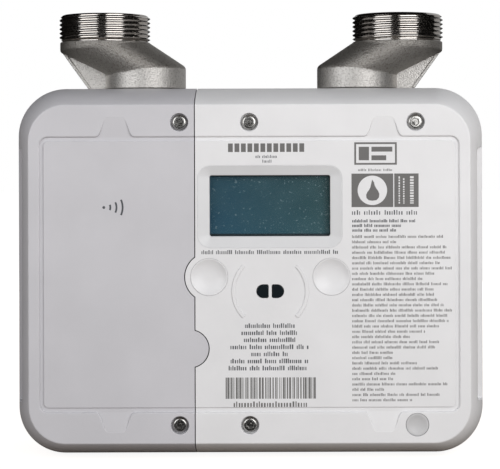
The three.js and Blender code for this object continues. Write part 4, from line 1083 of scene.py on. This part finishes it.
def build_housing():
    front_y, wall, top_z = HOUSING["front_y"], HOUSING["wall"], BOSS_TOP_Z
    outside = [(front_y, 0.3), (front_y + 0.3, 0.0), (26.0, 0.9), (32.0, 1.25), (36.0, 1.8), (39.0, 2.7),
               (41.5, 4.0), (43.5, 5.7), (44.9, 7.6), (45.7, 9.4), (BACK_Y, 11.5)]
    made = mesh_object("rear_housing_casting", housing_shape(outside, 14))
    boss = [(0, 178), (26.0, 178), (24.9, 180.2), (24.2, 181.6), (24.0, 182.4), (24.0, top_z - 0.9),
            (23.7, top_z - 0.25), (23.1, top_z), (0, top_z)]
    for side in SIDES:
        x, foot_x, half = side * PORT_X, side * FOOT["x"], FOOT["half_width"]
        join(made, turned(boss, 96, (x, PORT_Y, 0), axis="z"))
        pad = rectangle(*sorted((x, x + side * 31)), PORT_Y - 8, PORT_Y + 8)
        join(made, upright(pad, [(177.5, 0.0), (top_z - 0.5, 0.0), (top_z - 0.15, -0.15), (top_z, -0.5)]))
        join(made, side_pad(side))
        foot = rectangle(foot_x - half, foot_x + half, FOOT["front_y"], FOOT["back_y"])
        join(made, upright(foot, [(0, -1.0), (0.3, -0.3), (1.0, 0.0), (8, 0.0)]))
    cavity = [(RIM["back_y"], wall), (30.0, wall + 1), (HOUSING["floor_y"], wall + 4)]
    mouth = [(front_y - 1, RIM["width"]), (RIM["back_y"] + 1, RIM["width"])]
    cut(made, housing_shape(cavity, 6), housing_shape(mouth, 6))
    join(made, together([rod(5.5, front_y, 4, 24, (x - math.copysign(1, x), 0, z)) for x, z in PLATE_SCREWS]))
    port = [(0, 165), (18.3, 165), (18.3, top_z - 1.6), (20.5, top_z - 1.6), (20.5, top_z - 0.3),
            (21.0, top_z + 0.1), (0, top_z + 0.1)]
    cut(made, *[turned(port, 72, (side * PORT_X, PORT_Y, 0), axis="z") for side in SIDES])
    cut(made, together([rod(1.7, -20, 1, 24, (x, 0, z)) for x, z in PLATE_SCREWS]), rear_pockets())
    finished(made, PAINTED, "rear_housing", angle=32)


# ---------------- carried-over nodes

NODE_MATERIALS = (
    (PAINTED, "chamber_plate"),
    (RUBBER, "chamber_gasket inlet_o_ring outlet_o_ring valve_seal sensor_lead display_gasket battery_lead"),
    (BRASS, "inlet_ring_nut outlet_ring_nut antenna"),
    (BLACK, "valve_body flow_straightener electronics_tray battery_strap"),
    (BLACK, "button_switch_left button_switch_right"),
    (DUCT_PLASTIC, "valve_disc flow_duct outlet_pipe"),
    (PLATED, "valve_lead_screw valve_motor upstream_transducer downstream_transducer feedthrough magnet_ring"),
    (PLATED, "radio_shield board_screw_1 board_screw_2"),
    (STAINLESS, " ".join(f"plate_screw_{i}" for i in range(1, 7))),
    (CIRCUIT, "main_board radio_board"),
    (LCD, "lcd_module"),
    (CLEAR_DOME, "ir_emitter"),
    (INFRARED, "ir_receiver"),
    (CELL_WRAP, "battery_cell_1 battery_cell_2 battery_cell_3"),
)


def dress_nodes():
    for material, names in NODE_MATERIALS:
        for name in names.split():
            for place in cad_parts[name].material_slots:
                place.material = material


# ---------------- camera, floor and lights

CAMERA = {"place": (0.0205, -0.8728, 0.1499), "roll": math.radians(0.171), "lens": 121.84,
          "shift": (-0.08208, -0.15907)}


def build_camera():
    lens = bpy.data.cameras.new("camera")
    lens.sensor_width = 36
    lens.lens = CAMERA["lens"]
    lens.shift_x, lens.shift_y = CAMERA["shift"]
    lens.clip_end = 20
    camera = linked(bpy.data.objects.new("camera", lens))
    camera.location = CAMERA["place"]
    camera.rotation_euler = (PI / 2, CAMERA["roll"], 0)
    bpy.context.scene.camera = camera


def build_floor():
    """White paper that the camera sees bright, and that throws a little warm light up at the object."""
    half = 6.0
    mesh = bpy.data.meshes.new("floor")
    mesh.from_pydata([(x, y, 0) for x, y in rectangle(-half, half, -half, half)], [], [(0, 1, 2, 3)])
    floor = linked(bpy.data.objects.new("floor", mesh))
    nodes = Nodes("floor_paper")
    away = nodes.add("ShaderNodeVectorMath", {0: nodes.place}, operation="LENGTH")
    glow = nodes.ramp(away.outputs["Value"], [(0.15, 0.9), (0.8, 1.0)])
    seen = nodes.add("ShaderNodeLightPath").outputs["Is Camera Ray"]
    paper = nodes.ramp(nodes.noise(3), [(0.0, (0.33, 0.28, 0.235)), (1.0, (0.36, 0.31, 0.26))])
    nodes.set(Base_Color=paper, Roughness=0.9, Specular_IOR_Level=0.0, Emission_Strength=1.0,
              Emission_Color=nodes.mix(seen, (0.0, 0.0, 0.0), glow))
    nodes.material.cycles.emission_sampling = "NONE"
    floor.data.materials.append(nodes.material)
    floor.visible_glossy = False


def softbox(name, azimuth, size, radiance, middle_z, colour=(1, 1, 1), mirrored=True):
    """An upright lit panel round the object, so many degrees to the right of the camera's side, in metres."""
    distance, turn = 1.15, math.radians(azimuth)
    light = bpy.data.lights.new(name, "AREA")
    light.shape = "RECTANGLE"
    light.size, light.size_y = size
    light.energy = radiance * PI * size[0] * size[1]
    light.color = colour
    made = linked(bpy.data.objects.new(name, light))
    made.location = (distance * math.sin(turn), -distance * math.cos(turn), middle_z)
    made.rotation_euler = (Vector((0, 0, middle_z)) - made.location).to_track_quat("-Z", "Y").to_euler()
    made.visible_camera = False
    made.visible_glossy = mirrored


def build_lights():
    softbox("right_softbox", 29, (0.96, 0.76), 2.7, 0.45)
    softbox("left_softbox", -41, (1.0, 0.76), 2.25, 0.45, colour=(0.98, 0.99, 1.0))
    softbox("right_fill", 34, (1.1, 0.8), 2.1, 0.46, mirrored=False)
    softbox("rear_softbox", 150, (1.7, 1.2), 0.4, 0.7)
    softbox("rear_fill", 180, (2.2, 1.1), 1.5, 0.6, mirrored=False)


def build_world():
    """A white backdrop to the camera, dark to reflections, and a soft light to everything else."""
    world = bpy.data.worlds.new("studio")
    bpy.context.scene.world = world
    world.use_nodes = True
    tree = world.node_tree
    tree.nodes.clear()
    ray = tree.nodes.new("ShaderNodeLightPath").outputs

    def background(colour, strength):
        node = tree.nodes.new("ShaderNodeBackground")
        node.inputs["Color"].default_value = (*colour, 1)
        node.inputs["Strength"].default_value = strength
        return node.outputs[0]

    def either(*sources):
        node = tree.nodes.new("ShaderNodeMixShader")
        for source, socket in zip(sources, node.inputs):
            tree.links.new(source, socket)
        return node.outputs[0]

    soft = background((1.0, 0.98, 0.97), 0.13)
    reflected = background((1.0, 0.96, 0.9), 0.004)
    unseen = either(ray["Is Glossy Ray"], soft, reflected)
    surface = either(ray["Is Camera Ray"], unseen, background((1, 1, 1), 1.0))
    tree.links.new(surface, tree.nodes.new("ShaderNodeOutputWorld").inputs["Surface"])
    bpy.context.scene.view_settings.view_transform = "Standard"


# ---------------- the whole scene

for build in (build_camera, build_floor, build_lights, build_world, dress_nodes, build_covers, build_buttons,
              build_windows, build_screws, build_plug, build_connectors, build_housing, build_print,
              build_wave_mark, build_ring_mark):
    build()
